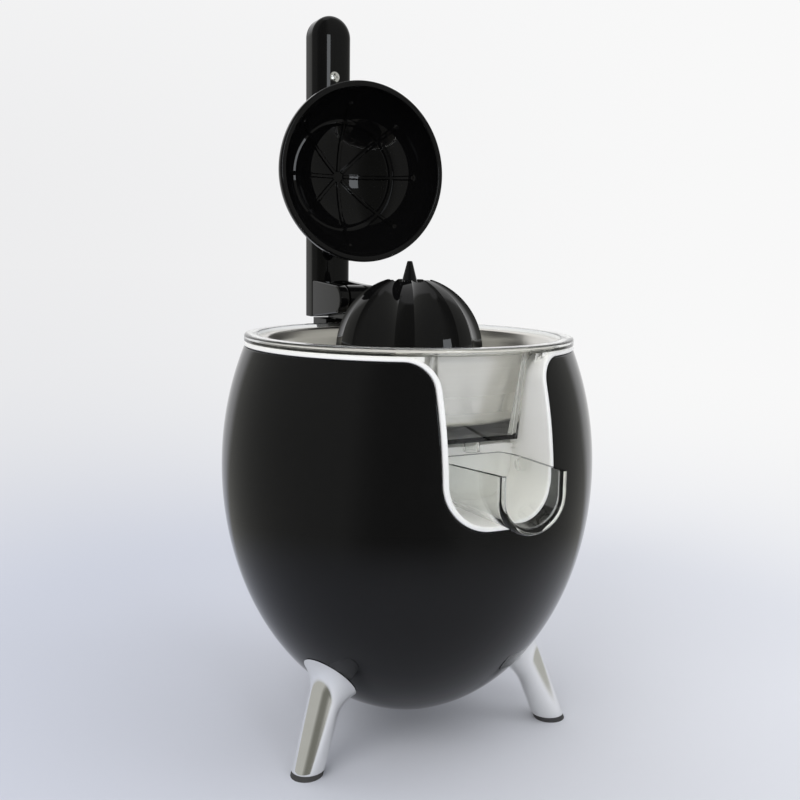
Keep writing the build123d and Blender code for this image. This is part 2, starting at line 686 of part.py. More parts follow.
keep("inner_liner", inner_liner)

# Screws up through the ledges into the liner's ears
with BuildPart() as liner_screws:
    for angle in LEDGE_ANGLES:
        seat = ring_sector(angle).offset(LEDGE_TOP_Z - LEDGE_H)
        with BuildSketch(seat):
            with Locations((LEDGE_SCREW_R, 0)):
                Circle(SCREW_HEAD_R)
        extrude(amount=-SCREW_HEAD_H)
        with BuildSketch(seat):
            with Locations((LEDGE_SCREW_R, 0)):
                Circle(SCREW_R)
        extrude(amount=LEDGE_H + EAR_H)
keep("liner_screws", liner_screws)

# Base cover: the egg's bottom cap with a lip inside the shell, screw bosses and vents
with BuildPart() as base_cover:
    add(egg_full)
    add(egg_cover_hollow, mode=Mode.SUBTRACT)
    split(bisect_by=Plane.XY.offset(SHELL_FOOT_Z - GAP), keep=Keep.BOTTOM)
    with BuildSketch(Plane.XY.offset(SHELL_FOOT_Z - GAP - COVER_WALL)):
        Circle(COVER_LIP_R)
        Circle(COVER_LIP_R - COVER_WALL, mode=Mode.SUBTRACT)
    extrude(amount=COVER_WALL + GAP + COVER_LIP_H)
    with BuildSketch(Plane.XY.offset(LUG_Z - GAP)):
        for angle in COVER_SCREW_ANGLES:
            with PolarLocations(COVER_SCREW_RING_R, 1, start_angle=angle):
                Circle(COVER_BOSS_R)
    extrude(amount=-(LUG_Z - EGG_MID_Z + EGG_HALF_H))
    with BuildSketch(Plane.XY.offset(COVER_SCREW_Z)):
        for angle in COVER_SCREW_ANGLES:
            with PolarLocations(COVER_SCREW_RING_R, 1, start_angle=angle):
                Circle(SCREW_HEAD_R + GAP)
    extrude(amount=-COVER_SCREW_Z, mode=Mode.SUBTRACT)
    with BuildSketch(Plane.XY.offset(LUG_Z)):
        for angle in COVER_SCREW_ANGLES:
            with PolarLocations(COVER_SCREW_RING_R, 1, start_angle=angle):
                Circle(SCREW_R + GAP)
        with GridLocations(0, VENT_PITCH, 1, VENT_COUNT):
            SlotOverall(VENT_L, VENT_W)
    extrude(amount=-LUG_Z, mode=Mode.SUBTRACT)
    add(egg_full, mode=Mode.INTERSECT)
keep("base_cover", base_cover)

# Screws up through the base cover into the shell's lugs
with BuildPart() as base_cover_screws:
    for angle in COVER_SCREW_ANGLES:
        with BuildSketch(ring_sector(angle).offset(COVER_SCREW_Z)):
            with Locations((COVER_SCREW_RING_R, 0)):
                Circle(SCREW_HEAD_R)
        extrude(amount=-SCREW_HEAD_H)
        with BuildSketch(ring_sector(angle).offset(COVER_SCREW_Z)):
            with Locations((COVER_SCREW_RING_R, 0)):
                Circle(SCREW_R)
        extrude(amount=LUG_Z + LEDGE_H - COVER_SCREW_Z)
keep("base_cover_screws", base_cover_screws)

# Legs: round bars that slope outwards and flare into a saddle against the egg, each on a rubber pad
for label, angle in FOOT_ANGLES.items():
    base = foot_plane(angle)
    with BuildPart() as foot:
        with BuildSketch(Plane(base.origin, x_dir=base.x_dir, z_dir=-base.y_dir)):
            with BuildLine():
                Line((0, 0), (FOOT_R, 0))
                Line((FOOT_R, 0), (FOOT_R, foot_length - FOOT_FLARE_H))
                TangentArc(
                    (FOOT_R, foot_length - FOOT_FLARE_H), (FOOT_SADDLE_R, foot_length), tangent=(0, 1)
                )
                Line((FOOT_SADDLE_R, foot_length), (FOOT_SADDLE_R, foot_length + FOOT_SADDLE_H))
                Line((FOOT_SADDLE_R, foot_length + FOOT_SADDLE_H), (0, foot_length + FOOT_SADDLE_H))
                Line((0, foot_length + FOOT_SADDLE_H), (0, 0))
            make_face()
        revolve(axis=Axis(base.origin, base.z_dir))
        with BuildSketch(base.offset(-OVERRUN)):
            Circle(FOOT_R)
        extrude(amount=OVERRUN)
        add(egg_clear, mode=Mode.SUBTRACT)
        split(bisect_by=Plane.XY.offset(PAD_H), keep=Keep.TOP)
        with BuildSketch(base.offset(foot_length - FOOT_BITE)):
            Circle(SCREW_R + RUNNING_GAP)
        extrude(amount=FOOT_BITE + FOOT_SADDLE_H, mode=Mode.SUBTRACT)
    keep(label, foot)
    with BuildPart() as foot_pad:
        with BuildSketch(base.offset(-OVERRUN)):
            Circle(FOOT_R - PAD_INSET)
        extrude(amount=2 * OVERRUN + PAD_H)
        split(bisect_by=Plane.XY.offset(PAD_H), keep=Keep.BOTTOM)
        split(bisect_by=Plane.XY, keep=Keep.TOP)
    keep(label.replace("foot", "pad"), foot_pad)

# Screws from inside the shell down into the legs
with BuildPart() as foot_screws:
    for angle in FOOT_ANGLES.values():
        seat = foot_plane(angle).offset(foot_length + FOOT_SEAT_RISE)
        with BuildSketch(seat):
            Circle(SCREW_HEAD_R)
        extrude(amount=SCREW_HEAD_H)
        with BuildSketch(seat):
            Circle(SCREW_R)
        extrude(amount=-(FOOT_SEAT_RISE + FOOT_BITE - OVERRUN))
keep("foot_screws", foot_screws)

# Bush of the mains inlet, a flanged rubber sleeve through the shell
with BuildPart() as cord_inlet_bush:
    inlet_r = egg_radius(INLET_Z + INLET_FLANGE_R, 0)
    with BuildSketch(inlet_plane.offset(inlet_r + INLET_FLANGE_H)):
        Circle(INLET_FLANGE_R)
    extrude(amount=-inlet_r)
    add(egg_clear, mode=Mode.SUBTRACT)
    with BuildSketch(inlet_plane.offset(inlet_r + INLET_FLANGE_H)):
        Circle(INLET_R)
    extrude(amount=-INLET_L)
    with BuildSketch(inlet_plane.offset(inlet_r + INLET_FLANGE_H)):
        Circle(INLET_BORE_R)
    extrude(amount=-INLET_L, mode=Mode.SUBTRACT)
keep("cord_inlet_bush", cord_inlet_bush)

# Motor deck: a plate under the gears with posts that space the motor below it
with BuildPart() as motor_deck:
    with BuildSketch(Plane.XY.offset(DECK_Z)):
        Circle(DECK_R)
    extrude(amount=DECK_H)
    with BuildSketch(motor_axis.offset(DECK_Z)):
        with PolarLocations(MOTOR_SCREW_RING_R, STATOR_POLES, start_angle=HALF_TURN / STATOR_POLES):
            Circle(POST_R)
    extrude(amount=-(DECK_Z - STATOR_FOOT_Z - STATOR_H))
    with BuildSketch(Plane.XY.offset(DECK_TOP_Z)):
        for angle in PILLAR_ANGLES:
            with PolarLocations(PILLAR_RING_R, 1, start_angle=angle):
                Circle(SCREW_R + GAP)
        with Locations(*cover_legs):
            Circle(SCREW_R + GAP)
        with Locations((0, MOTOR_OFFSET)):
            Circle(MOTOR_SHAFT_R + 2 * RUNNING_GAP + BUSH_WALL)
        with Locations((IDLER_X, IDLER_Y)):
            Circle(AXLE_R + RUNNING_GAP)
        Circle(BUSH_R + RUNNING_GAP)
    extrude(amount=-DECK_H, mode=Mode.SUBTRACT)
    with BuildSketch(motor_axis.offset(DECK_TOP_Z)):
        with PolarLocations(MOTOR_SCREW_RING_R, STATOR_POLES, start_angle=HALF_TURN / STATOR_POLES):
            Circle(SCREW_R + RUNNING_GAP)
    extrude(amount=-(DECK_TOP_Z - STATOR_FOOT_Z - STATOR_H), mode=Mode.SUBTRACT)
keep("motor_deck", motor_deck)

# Screws up through the deck into the liner's pillars
with BuildPart() as deck_screws:
    for angle in PILLAR_ANGLES:
        with BuildSketch(ring_sector(angle).offset(DECK_Z)):
            with Locations((PILLAR_RING_R, 0)):
                Circle(SCREW_HEAD_R)
        extrude(amount=-SCREW_HEAD_H)
        with BuildSketch(ring_sector(angle).offset(DECK_Z)):
            with Locations((PILLAR_RING_R, 0)):
                Circle(SCREW_R)
        extrude(amount=DECK_H + SCREW_BITE)
keep("deck_screws", deck_screws)

# Screws up through the deck into the gear cover's legs
with BuildPart() as gear_cover_screws:
    with BuildSketch(Plane.XY.offset(DECK_Z)):
        with Locations(*cover_legs):
            Circle(SCREW_HEAD_R)
    extrude(amount=-SCREW_HEAD_H)
    with BuildSketch(Plane.XY.offset(DECK_Z)):
        with Locations(*cover_legs):
            Circle(SCREW_R)
    extrude(amount=DECK_H + SCREW_BITE)
keep("gear_cover_screws", gear_cover_screws)

# Gear cover: a plate above the gears on four legs, with a lobe that holds the idler's axle
with BuildPart() as gear_cover:
    with BuildSketch(Plane.XY.offset(COVER_PLATE_Z)):
        Circle(COVER_PLATE_R)
        with Locations((IDLER_X, IDLER_Y)):
            Circle(AXLE_R + COVER_LOBE_W)
    extrude(amount=COVER_PLATE_H)
    with BuildSketch(Plane.XY.offset(DECK_TOP_Z)):
        with Locations(*cover_legs):
            Circle(COVER_LEG_R)
            Circle(SCREW_R + RUNNING_GAP, mode=Mode.SUBTRACT)
    extrude(amount=COVER_PLATE_Z - DECK_TOP_Z)
    with BuildSketch(Plane.XY.offset(COVER_PLATE_TOP_Z)):
        Circle(BUSH_R + RUNNING_GAP)
        with Locations((IDLER_X, IDLER_Y)):
            Circle(AXLE_R + RUNNING_GAP)
    extrude(amount=-COVER_PLATE_H, mode=Mode.SUBTRACT)
keep("gear_cover", gear_cover)

# Motor: laminated stator with four wound poles
with BuildPart() as motor_stator:
    with BuildSketch(motor_axis.offset(STATOR_FOOT_Z)):
        Circle(STATOR_R)
        Circle(STATOR_R - STATOR_YOKE, mode=Mode.SUBTRACT)
        with PolarLocations((STATOR_R + STATOR_BORE_R) / 2 - STATOR_YOKE / 2, STATOR_POLES):
            Rectangle(STATOR_R - STATOR_BORE_R - STATOR_YOKE / 2, STATOR_POLE_W)
        Circle(STATOR_BORE_R, mode=Mode.SUBTRACT)
        with PolarLocations(MOTOR_SCREW_RING_R, STATOR_POLES, start_angle=HALF_TURN / STATOR_POLES):
            Circle(SCREW_R + GAP, mode=Mode.SUBTRACT)
    extrude(amount=STATOR_H)
keep("motor_stator", motor_stator)

# One coil round each pole
with BuildPart() as stator_windings:
    coil_mid_z = STATOR_FOOT_Z + STATOR_H / 2
    for pole in range(STATOR_POLES):
        turn = math.radians(pole * 360.0 / STATOR_POLES)
        out = Vector(math.cos(turn), math.sin(turn), 0)
        seat = Plane(Vector(0, MOTOR_OFFSET, coil_mid_z) + out * COIL_IN_R, x_dir=(0, 0, 1), z_dir=out)
        with BuildSketch(seat):
            RectangleRounded(
                STATOR_H + 2 * COIL_OVER, STATOR_POLE_W + 2 * COIL_THICK, radius=COIL_THICK
            )
            Rectangle(STATOR_H + 2 * GAP, STATOR_POLE_W + 2 * GAP, mode=Mode.SUBTRACT)
        extrude(amount=COIL_OUT_R - COIL_IN_R)
keep("stator_windings", stator_windings)

# Lower end plate of the motor, spaced from the stator by posts
with BuildPart() as motor_end_plate:
    with BuildSketch(motor_axis.offset(END_PLATE_Z)):
        Circle(STATOR_R)
    extrude(amount=END_PLATE_H)
    with BuildSketch(motor_axis.offset(END_PLATE_Z)):
        with PolarLocations(MOTOR_SCREW_RING_R, STATOR_POLES, start_angle=HALF_TURN / STATOR_POLES):
            Circle(POST_R)
    extrude(amount=STATOR_FOOT_Z - END_PLATE_Z)
    with BuildSketch(motor_axis.offset(END_PLATE_Z)):
        with PolarLocations(MOTOR_SCREW_RING_R, STATOR_POLES, start_angle=HALF_TURN / STATOR_POLES):
            Circle(SCREW_R + GAP)
        Circle(MOTOR_SHAFT_R + 2 * RUNNING_GAP + BUSH_WALL)
    extrude(amount=STATOR_FOOT_Z - END_PLATE_Z, mode=Mode.SUBTRACT)
keep("motor_end_plate", motor_end_plate)

# Long screws through the end plate and the stator into the deck's posts
with BuildPart() as motor_screws:
    with BuildSketch(motor_axis.offset(END_PLATE_Z)):
        with PolarLocations(MOTOR_SCREW_RING_R, STATOR_POLES, start_angle=HALF_TURN / STATOR_POLES):
            Circle(SCREW_HEAD_R)
    extrude(amount=-SCREW_HEAD_H)
    with BuildSketch(motor_axis.offset(END_PLATE_Z)):
        with PolarLocations(MOTOR_SCREW_RING_R, STATOR_POLES, start_angle=HALF_TURN / STATOR_POLES):
            Circle(SCREW_R)
    extrude(amount=DECK_Z - END_PLATE_Z)
keep("motor_screws", motor_screws)

# Bushes of the motor shaft, one in the end plate and one in the deck
with BuildPart() as motor_bushes:
    for foot, height in ((END_PLATE_Z, END_PLATE_H), (DECK_Z, DECK_H)):
        with BuildSketch(motor_axis.offset(foot)):
            Circle(MOTOR_SHAFT_R + RUNNING_GAP + BUSH_WALL)
            Circle(MOTOR_SHAFT_R + RUNNING_GAP, mode=Mode.SUBTRACT)
        extrude(amount=height)
keep("motor_bushes", motor_bushes)

# Motor shaft, which carries the rotor, the fan and the pinion
with BuildPart() as motor_shaft:
    with BuildSketch(motor_axis.offset(MOTOR_SHAFT_FOOT_Z)):
        Circle(MOTOR_SHAFT_R)
    extrude(amount=WHEEL_FOOT_Z + WHEEL_H - MOTOR_SHAFT_FOOT_Z)
keep("motor_shaft", motor_shaft)

# Rotor with slots for its bars
with BuildPart() as motor_rotor:
    rotor_r = STATOR_BORE_R - ROTOR_GAP
    with BuildSketch(motor_axis.offset(STATOR_FOOT_Z)):
        Circle(rotor_r)
        with PolarLocations(rotor_r, ROTOR_SLOTS):
            Rectangle(2 * ROTOR_SLOT_DEEP, ROTOR_SLOT_W, mode=Mode.SUBTRACT)
        Circle(MOTOR_SHAFT_R + RUNNING_GAP, mode=Mode.SUBTRACT)
    extrude(amount=STATOR_H)
keep("motor_rotor", motor_rotor)

# Cooling fan under the deck
with BuildPart() as motor_fan:
    with BuildSketch(motor_axis.offset(FAN_Z)):
        Circle(FAN_HUB_R)
        with PolarLocations((FAN_R + FAN_HUB_R) / 2, FAN_BLADES):
            Rectangle(FAN_R - FAN_HUB_R + FAN_BLADE_W, FAN_BLADE_W)
        Circle(MOTOR_SHAFT_R + RUNNING_GAP, mode=Mode.SUBTRACT)
    extrude(amount=FAN_H)
keep("motor_fan", motor_fan)

# Pinion above the deck
with BuildPart() as motor_pinion:
    with BuildSketch(motor_axis.offset(WHEEL_FOOT_Z)):
        draw_gear(PINION_TEETH, MOTOR_MODULE, MOTOR_TO_IDLER)
        Circle(MOTOR_SHAFT_R + RUNNING_GAP, mode=Mode.SUBTRACT)
    extrude(amount=WHEEL_H)
keep("motor_pinion", motor_pinion)

# Idler: a large wheel and a long small wheel in one moulding, turning on a fixed axle
with BuildPart() as idler_gear:
    with BuildSketch(idler_axis.offset(WHEEL_FOOT_Z)):
        draw_gear(WHEEL_TEETH, MOTOR_MODULE, MOTOR_TO_IDLER + HALF_TURN + HALF_WHEEL_PITCH)
    extrude(amount=WHEEL_H)
    with BuildSketch(idler_axis.offset(WHEEL_FOOT_Z + WHEEL_H)):
        draw_gear(PINION_TEETH, OUTPUT_MODULE, OUTPUT_TO_IDLER + HALF_TURN)
    extrude(amount=IDLER_TOP_Z - WHEEL_FOOT_Z - WHEEL_H)
    with BuildSketch(idler_axis.offset(WHEEL_FOOT_Z)):
        Circle(AXLE_R + RUNNING_GAP)
    extrude(amount=IDLER_TOP_Z - WHEEL_FOOT_Z, mode=Mode.SUBTRACT)
keep("idler_gear", idler_gear)

# Fixed axle of the idler, held in the deck and in the gear cover
with BuildPart() as idler_axle:
    with BuildSketch(idler_axis.offset(DECK_Z)):
        Circle(AXLE_R)
    extrude(amount=COVER_PLATE_TOP_Z - DECK_Z)
keep("idler_axle", idler_axle)

# Output wheel on the drive shaft
with BuildPart() as output_gear:
    with BuildSketch(Plane.XY.offset(OUTPUT_FOOT_Z)):
        draw_gear(WHEEL_TEETH, OUTPUT_MODULE, OUTPUT_TO_IDLER + HALF_WHEEL_PITCH)
    extrude(amount=OUTPUT_H)
    with BuildSketch(Plane.XY.offset(OUTPUT_FOOT_Z - HUB_OVER)):
        Circle(HUB_R)
    extrude(amount=OUTPUT_H + 2 * HUB_OVER)
    with BuildSketch(Plane.XY.offset(OUTPUT_FOOT_Z - HUB_OVER)):
        Circle(SHAFT_R + RUNNING_GAP)
    extrude(amount=OUTPUT_H + 2 * HUB_OVER, mode=Mode.SUBTRACT)
keep("output_gear", output_gear)

# Drive shaft: round in its bushes, six-sided at the top where the reamer sits
with BuildPart() as drive_shaft:
    with BuildSketch(Plane.XY.offset(SHAFT_FOOT_Z)):
        Circle(SHAFT_R)
    extrude(amount=SHAFT_HEX_Z - SHAFT_FOOT_Z)
    with BuildSketch(Plane.XY.offset(SHAFT_HEX_Z)):
        RegularPolygon(SHAFT_R, HEX_SIDES)
    extrude(amount=SHAFT_TOP_Z - SHAFT_HEX_Z)
keep("drive_shaft", drive_shaft)

# Open clip above the thrust washer, which ties it to the shaft
with BuildPart() as shaft_clip:
    with BuildSketch(Plane.XY.offset(WASHER_Z + WASHER_H)):
        Circle(CLIP_R)
        Circle(SHAFT_R + RUNNING_GAP, mode=Mode.SUBTRACT)
        with Locations((-CLIP_R, 0)):
            Rectangle(CLIP_R, SHAFT_R, mode=Mode.SUBTRACT)
    extrude(amount=CLIP_H)
keep("shaft_clip", shaft_clip)

# Flanged bush of the drive shaft in the deck
with BuildPart() as lower_shaft_bush:
    with BuildSketch(Plane.XY.offset(DECK_Z)):
        Circle(BUSH_R)
    extrude(amount=LOWER_BUSH_TOP_Z - DECK_Z)
    with BuildSketch(Plane.XY.offset(DECK_TOP_Z)):
        Circle(BUSH_R + BUSH_FLANGE_W)
    extrude(amount=BUSH_FLANGE_H)
    with BuildSketch(Plane.XY.offset(DECK_Z)):
        Circle(SHAFT_R + RUNNING_GAP)
    extrude(amount=LOWER_BUSH_TOP_Z - DECK_Z, mode=Mode.SUBTRACT)
keep("lower_shaft_bush", lower_shaft_bush)

# Flanged bush of the drive shaft in the gear cover
with BuildPart() as upper_shaft_bush:
    with BuildSketch(Plane.XY.offset(COVER_PLATE_Z)):
        Circle(BUSH_R)
    extrude(amount=COVER_PLATE_H)
    with BuildSketch(Plane.XY.offset(COVER_PLATE_TOP_Z)):
        Circle(BUSH_R + BUSH_FLANGE_W)
    extrude(amount=BUSH_FLANGE_H)
    with BuildSketch(Plane.XY.offset(COVER_PLATE_Z)):
        Circle(SHAFT_R + RUNNING_GAP)
    extrude(amount=COVER_PLATE_H + BUSH_FLANGE_H, mode=Mode.SUBTRACT)
keep("upper_shaft_bush", upper_shaft_bush)

# Seal of the drive shaft at the top of the liner's tube
with BuildPart() as shaft_seal:
    with BuildSketch(Plane.XY.offset(LINER_TUBE_TOP_Z - SEAL_H)):
        Circle(LINER_TUBE_R - RUNNING_GAP)
        Circle(SHAFT_R + RUNNING_GAP, mode=Mode.SUBTRACT)
    extrude(amount=SEAL_H)
keep("shaft_seal", shaft_seal)

# Return spring between the upper bush and the thrust washer
with BuildPart() as return_spring:
    spring_h = WASHER_Z - SPRING_FOOT_Z - 2 * SPRING_WIRE_R - 2 * RUNNING_GAP
    spring_z = SPRING_FOOT_Z + SPRING_WIRE_R + RUNNING_GAP
    with BuildLine(Plane.XY.offset(spring_z)) as spring_path:
        Helix(pitch=spring_h / SPRING_TURNS, height=spring_h, radius=SPRING_R)
    with BuildSketch(Plane((SPRING_R, 0, spring_z), x_dir=(1, 0, 0), z_dir=(0, 1, 0))):
        RegularPolygon(SPRING_WIRE_R, HEX_SIDES)
    sweep(path=spring_path.wires()[0], is_frenet=True)
keep("return_spring", return_spring)

# Thrust washer: slides with the shaft but doesn't turn, and carries the switch rod on a tongue
with BuildPart() as thrust_washer:
    with BuildSketch(Plane.XY.offset(WASHER_Z)):
        Circle(WASHER_R)
        Rectangle(TONGUE_L, TONGUE_W, align=(Align.MIN, Align.CENTER))
        Circle(SHAFT_R + RUNNING_GAP, mode=Mode.SUBTRACT)
        with Locations((SWITCH_X, 0)):
            Circle(ROD_R + RUNNING_GAP, mode=Mode.SUBTRACT)
    extrude(amount=WASHER_H)
keep("thrust_washer", thrust_washer)

# Rod on the washer's tongue, which presses the switch
with BuildPart() as switch_rod:
    with BuildSketch(Plane.XY.offset(WASHER_Z + WASHER_H)):
        with Locations((SWITCH_X, 0)):
            Circle(ROD_R)
    extrude(amount=-(WASHER_Z + WASHER_H - COVER_PLATE_TOP_Z - SWITCH_H + GAP))
keep("switch_rod", switch_rod)

# Start switch on the gear cover, closed when the rod comes down into its well
with BuildPart() as start_switch:
    with BuildSketch(Plane.XY.offset(COVER_PLATE_TOP_Z)):
        with Locations((SWITCH_X, 0)):
            Rectangle(SWITCH_W, SWITCH_L)
    extrude(amount=SWITCH_H)
    with BuildSketch(Plane.XY.offset(COVER_PLATE_TOP_Z + SWITCH_H)):
        with Locations((SWITCH_X, 0)):
            Circle(ROD_R + GAP)
    extrude(amount=-SWITCH_WELL, mode=Mode.SUBTRACT)
keep("start_switch", start_switch)

# Clear juice bowl: a tapered pan hung by its ring, with a flat window in front and an outlet
with BuildPart() as juice_bowl:
    with BuildSketch(Plane.XZ):
        with BuildLine():
            Polyline(
                (0, BOWL_FOOT_Z),
                (BOWL_FOOT_R + BOWL_WALL, BOWL_FOOT_Z),
                (BOWL_TOP_R + BOWL_WALL, TRIM_TOP_Z),
                (RING_R, TRIM_TOP_Z),
                (RING_R, RING_TOP_Z),
                (0, RING_TOP_Z),
                close=True,
            )
        make_face()
    revolve(axis=Axis.Z)
    fillet(juice_bowl.edges().group_by(Axis.Z)[-1], RING_ROUND)
    with BuildSketch(Plane.XY.offset(BOWL_FOOT_Z)):
        with Locations((0, WINDOW_FOOT_Y)):
            Rectangle(
                2 * WINDOW_FOOT_HALF_W, WINDOW_BACK_Y - WINDOW_FOOT_Y, align=(Align.CENTER, Align.MIN)
            )
    with BuildSketch(Plane.XY.offset(TRIM_TOP_Z)):
        with Locations((0, WINDOW_TOP_Y)):
            Rectangle(2 * WINDOW_TOP_HALF_W, WINDOW_BACK_Y - WINDOW_TOP_Y, align=(Align.CENTER, Align.MIN))
    loft()
    with BuildSketch(Plane.XY.offset(BOWL_FOOT_Z)):
        with Locations((0, OUTLET_Y)):
            Circle(OUTLET_R)
    extrude(amount=OUTLET_FOOT_Z - BOWL_FOOT_Z)
    # hollow of the pan and of the window box
    with BuildSketch(Plane.XZ):
        with BuildLine():
            Polyline(
                (0, BOWL_FOOT_Z + BOWL_WALL),
                (BOWL_FOOT_R, BOWL_FOOT_Z + BOWL_WALL),
                (BOWL_TOP_R, STEP_Z),
                (STEP_R, STEP_Z),
                (STEP_R, RING_TOP_Z),
                (0, RING_TOP_Z),
                close=True,
            )
        make_face()
    revolve(axis=Axis.Z, mode=Mode.SUBTRACT)
    with BuildSketch(Plane.XY.offset(BOWL_FOOT_Z + BOWL_WALL)):
        with Locations((0, WINDOW_FOOT_Y + BOWL_WALL)):
            Rectangle(
                2 * (WINDOW_FOOT_HALF_W - BOWL_WALL),
                WINDOW_BACK_Y - WINDOW_FOOT_Y - BOWL_WALL,
                align=(Align.CENTER, Align.MIN),
            )
    with BuildSketch(Plane.XY.offset(STEP_Z)):
        with Locations((0, WINDOW_TOP_Y + BOWL_WALL)):
            Rectangle(
                2 * (WINDOW_TOP_HALF_W - BOWL_WALL),
                WINDOW_BACK_Y - WINDOW_TOP_Y - BOWL_WALL,
                align=(Align.CENTER, Align.MIN),
            )
    loft(mode=Mode.SUBTRACT)
    with BuildSketch(Plane.XY.offset(OUTLET_FOOT_Z)):
        with Locations((0, OUTLET_Y)):
            Circle(OUTLET_R - OUTLET_WALL)
    extrude(amount=BOWL_FOOT_Z + BOWL_WALL - OUTLET_FOOT_Z, mode=Mode.SUBTRACT)
    # tube round the drive shaft
    with BuildSketch(Plane.XY.offset(BOWL_FOOT_Z)):
        Circle(BOWL_TUBE_R + BOWL_WALL)
    extrude(amount=BOWL_TUBE_TOP_Z - BOWL_FOOT_Z)
    with BuildSketch(Plane.XY.offset(BOWL_FOOT_Z)):
        Circle(BOWL_TUBE_R)
    extrude(amount=BOWL_TUBE_TOP_Z - BOWL_FOOT_Z, mode=Mode.SUBTRACT)
keep("juice_bowl", juice_bowl)

# Strainer basket: pressed steel with a rim on the bowl's step, a collar and radial slots
with BuildPart() as strainer_basket:
    with BuildSketch(Plane.XZ):
        with BuildLine():
            Polyline(
                (COLLAR_R, BASKET_FOOT_Z),
                (BASKET_FOOT_R, BASKET_FOOT_Z),
                (BASKET_TOP_R, STEP_Z),
                (STEP_R - GAP, STEP_Z),
                (STEP_R - GAP, STEP_Z + STEEL_WALL),
                (BASKET_TOP_R - STEEL_WALL, STEP_Z + STEEL_WALL),
                (BASKET_FOOT_R - STEEL_WALL, BASKET_FOOT_Z + STEEL_WALL),
                (COLLAR_R + STEEL_WALL, BASKET_FOOT_Z + STEEL_WALL),
                (COLLAR_R + STEEL_WALL, COLLAR_TOP_Z),
                (COLLAR_R, COLLAR_TOP_Z),
                close=True,
            )
        make_face()
    revolve(axis=Axis.Z)
    with BuildSketch(Plane.XY.offset(BASKET_FOOT_Z)):
        with PolarLocations(SLOT_RING_R, SLOT_COUNT):
            Rectangle(SLOT_L, SLOT_W)
    extrude(amount=STEEL_WALL, mode=Mode.SUBTRACT)
keep("strainer_basket", strainer_basket)

# Reamer: a hollow dome with ribs and hollowed panels, a dished crown, a spike and a six-sided socket
with BuildPart() as reamer_cone:
    with BuildSketch(Plane.XY.offset(REAMER_FOOT_Z)):
        draw_reamer(REAMER_R, PANEL_SHARE)
    extrude(amount=REAMER_SKIRT_H)
    for angle in DOME_ANGLES:
        rise = math.radians(angle)
        way_up = angle / DOME_ANGLES[-1]
        panel = PANEL_SHARE + (CROWN_PANEL_SHARE - PANEL_SHARE) * way_up**2
        with BuildSketch(Plane.XY.offset(REAMER_MID_Z + REAMER_R * math.sin(rise))):
            draw_reamer(REAMER_R * math.cos(rise), panel)
    loft()
    with BuildSketch(Plane.XY.offset(CROWN_Z)):
        Circle(CROWN_R)
    extrude(amount=REAMER_R, mode=Mode.SUBTRACT)
    # the hollow under the dome
    with BuildSketch(Plane.XZ):
        with BuildLine():
            Line((0, REAMER_FOOT_Z), (REAMER_IN_R, REAMER_FOOT_Z))
            Line((REAMER_IN_R, REAMER_FOOT_Z), (REAMER_IN_R, REAMER_MID_Z))
            CenterArc((0, REAMER_MID_Z), REAMER_IN_R, 0, HALF_TURN / 2)
            Line((0, REAMER_MID_Z + REAMER_IN_R), (0, REAMER_FOOT_Z))
        make_face()
    revolve(axis=Axis.Z, mode=Mode.SUBTRACT)
    with BuildSketch(Plane.XY.offset(REAMER_HUB_Z)):
        Circle(REAMER_HUB_R)
    extrude(amount=CROWN_Z - REAMER_HUB_Z)
    with BuildSketch(Plane.XY.offset(REAMER_HUB_Z)):
        Circle(SHAFT_R + GAP)
    extrude(amount=SHAFT_HEX_Z - REAMER_HUB_Z, mode=Mode.SUBTRACT)
    with BuildSketch(Plane.XY.offset(SHAFT_HEX_Z)):
        RegularPolygon(SHAFT_R + GAP, HEX_SIDES)
    extrude(amount=SHAFT_TOP_Z + GAP - SHAFT_HEX_Z, mode=Mode.SUBTRACT)
    with BuildSketch(Plane.XY.offset(CROWN_Z)):
        Circle(SPIKE_R)
    with BuildSketch(Plane.XY.offset(SPIKE_TOP_Z)):
        Circle(SPIKE_TIP_R)
    loft()
keep("reamer_cone", reamer_cone)

# Hollow of the spout: a round cup at the back that runs out into an open trough
with BuildPart() as spout_hollow:
    with Locations((0, SPOUT_Y, SPOUT_Z)):
        Sphere(SPOUT_R - SPOUT_WALL)
    split(bisect_by=Plane.XZ.offset(SPOUT_WALL - SPOUT_BACK_Y), keep=Keep.TOP)
    with BuildSketch(Plane.XZ.offset(-SPOUT_Y)):
        with Locations((0, SPOUT_Z)):
            Circle(SPOUT_R - SPOUT_WALL)
            Rectangle(2 * (SPOUT_R - SPOUT_WALL), SPOUT_R, align=(Align.CENTER, Align.MIN))
    with BuildSketch(Plane.XZ.offset(OVERRUN - LIP_Y)):
        with Locations((0, LIP_FOOT_Z + LIP_HALF_W)):
            Circle(LIP_HALF_W - SPOUT_WALL)
            Rectangle(2 * (LIP_HALF_W - SPOUT_WALL), SPOUT_R, align=(Align.CENTER, Align.MIN))
    loft()

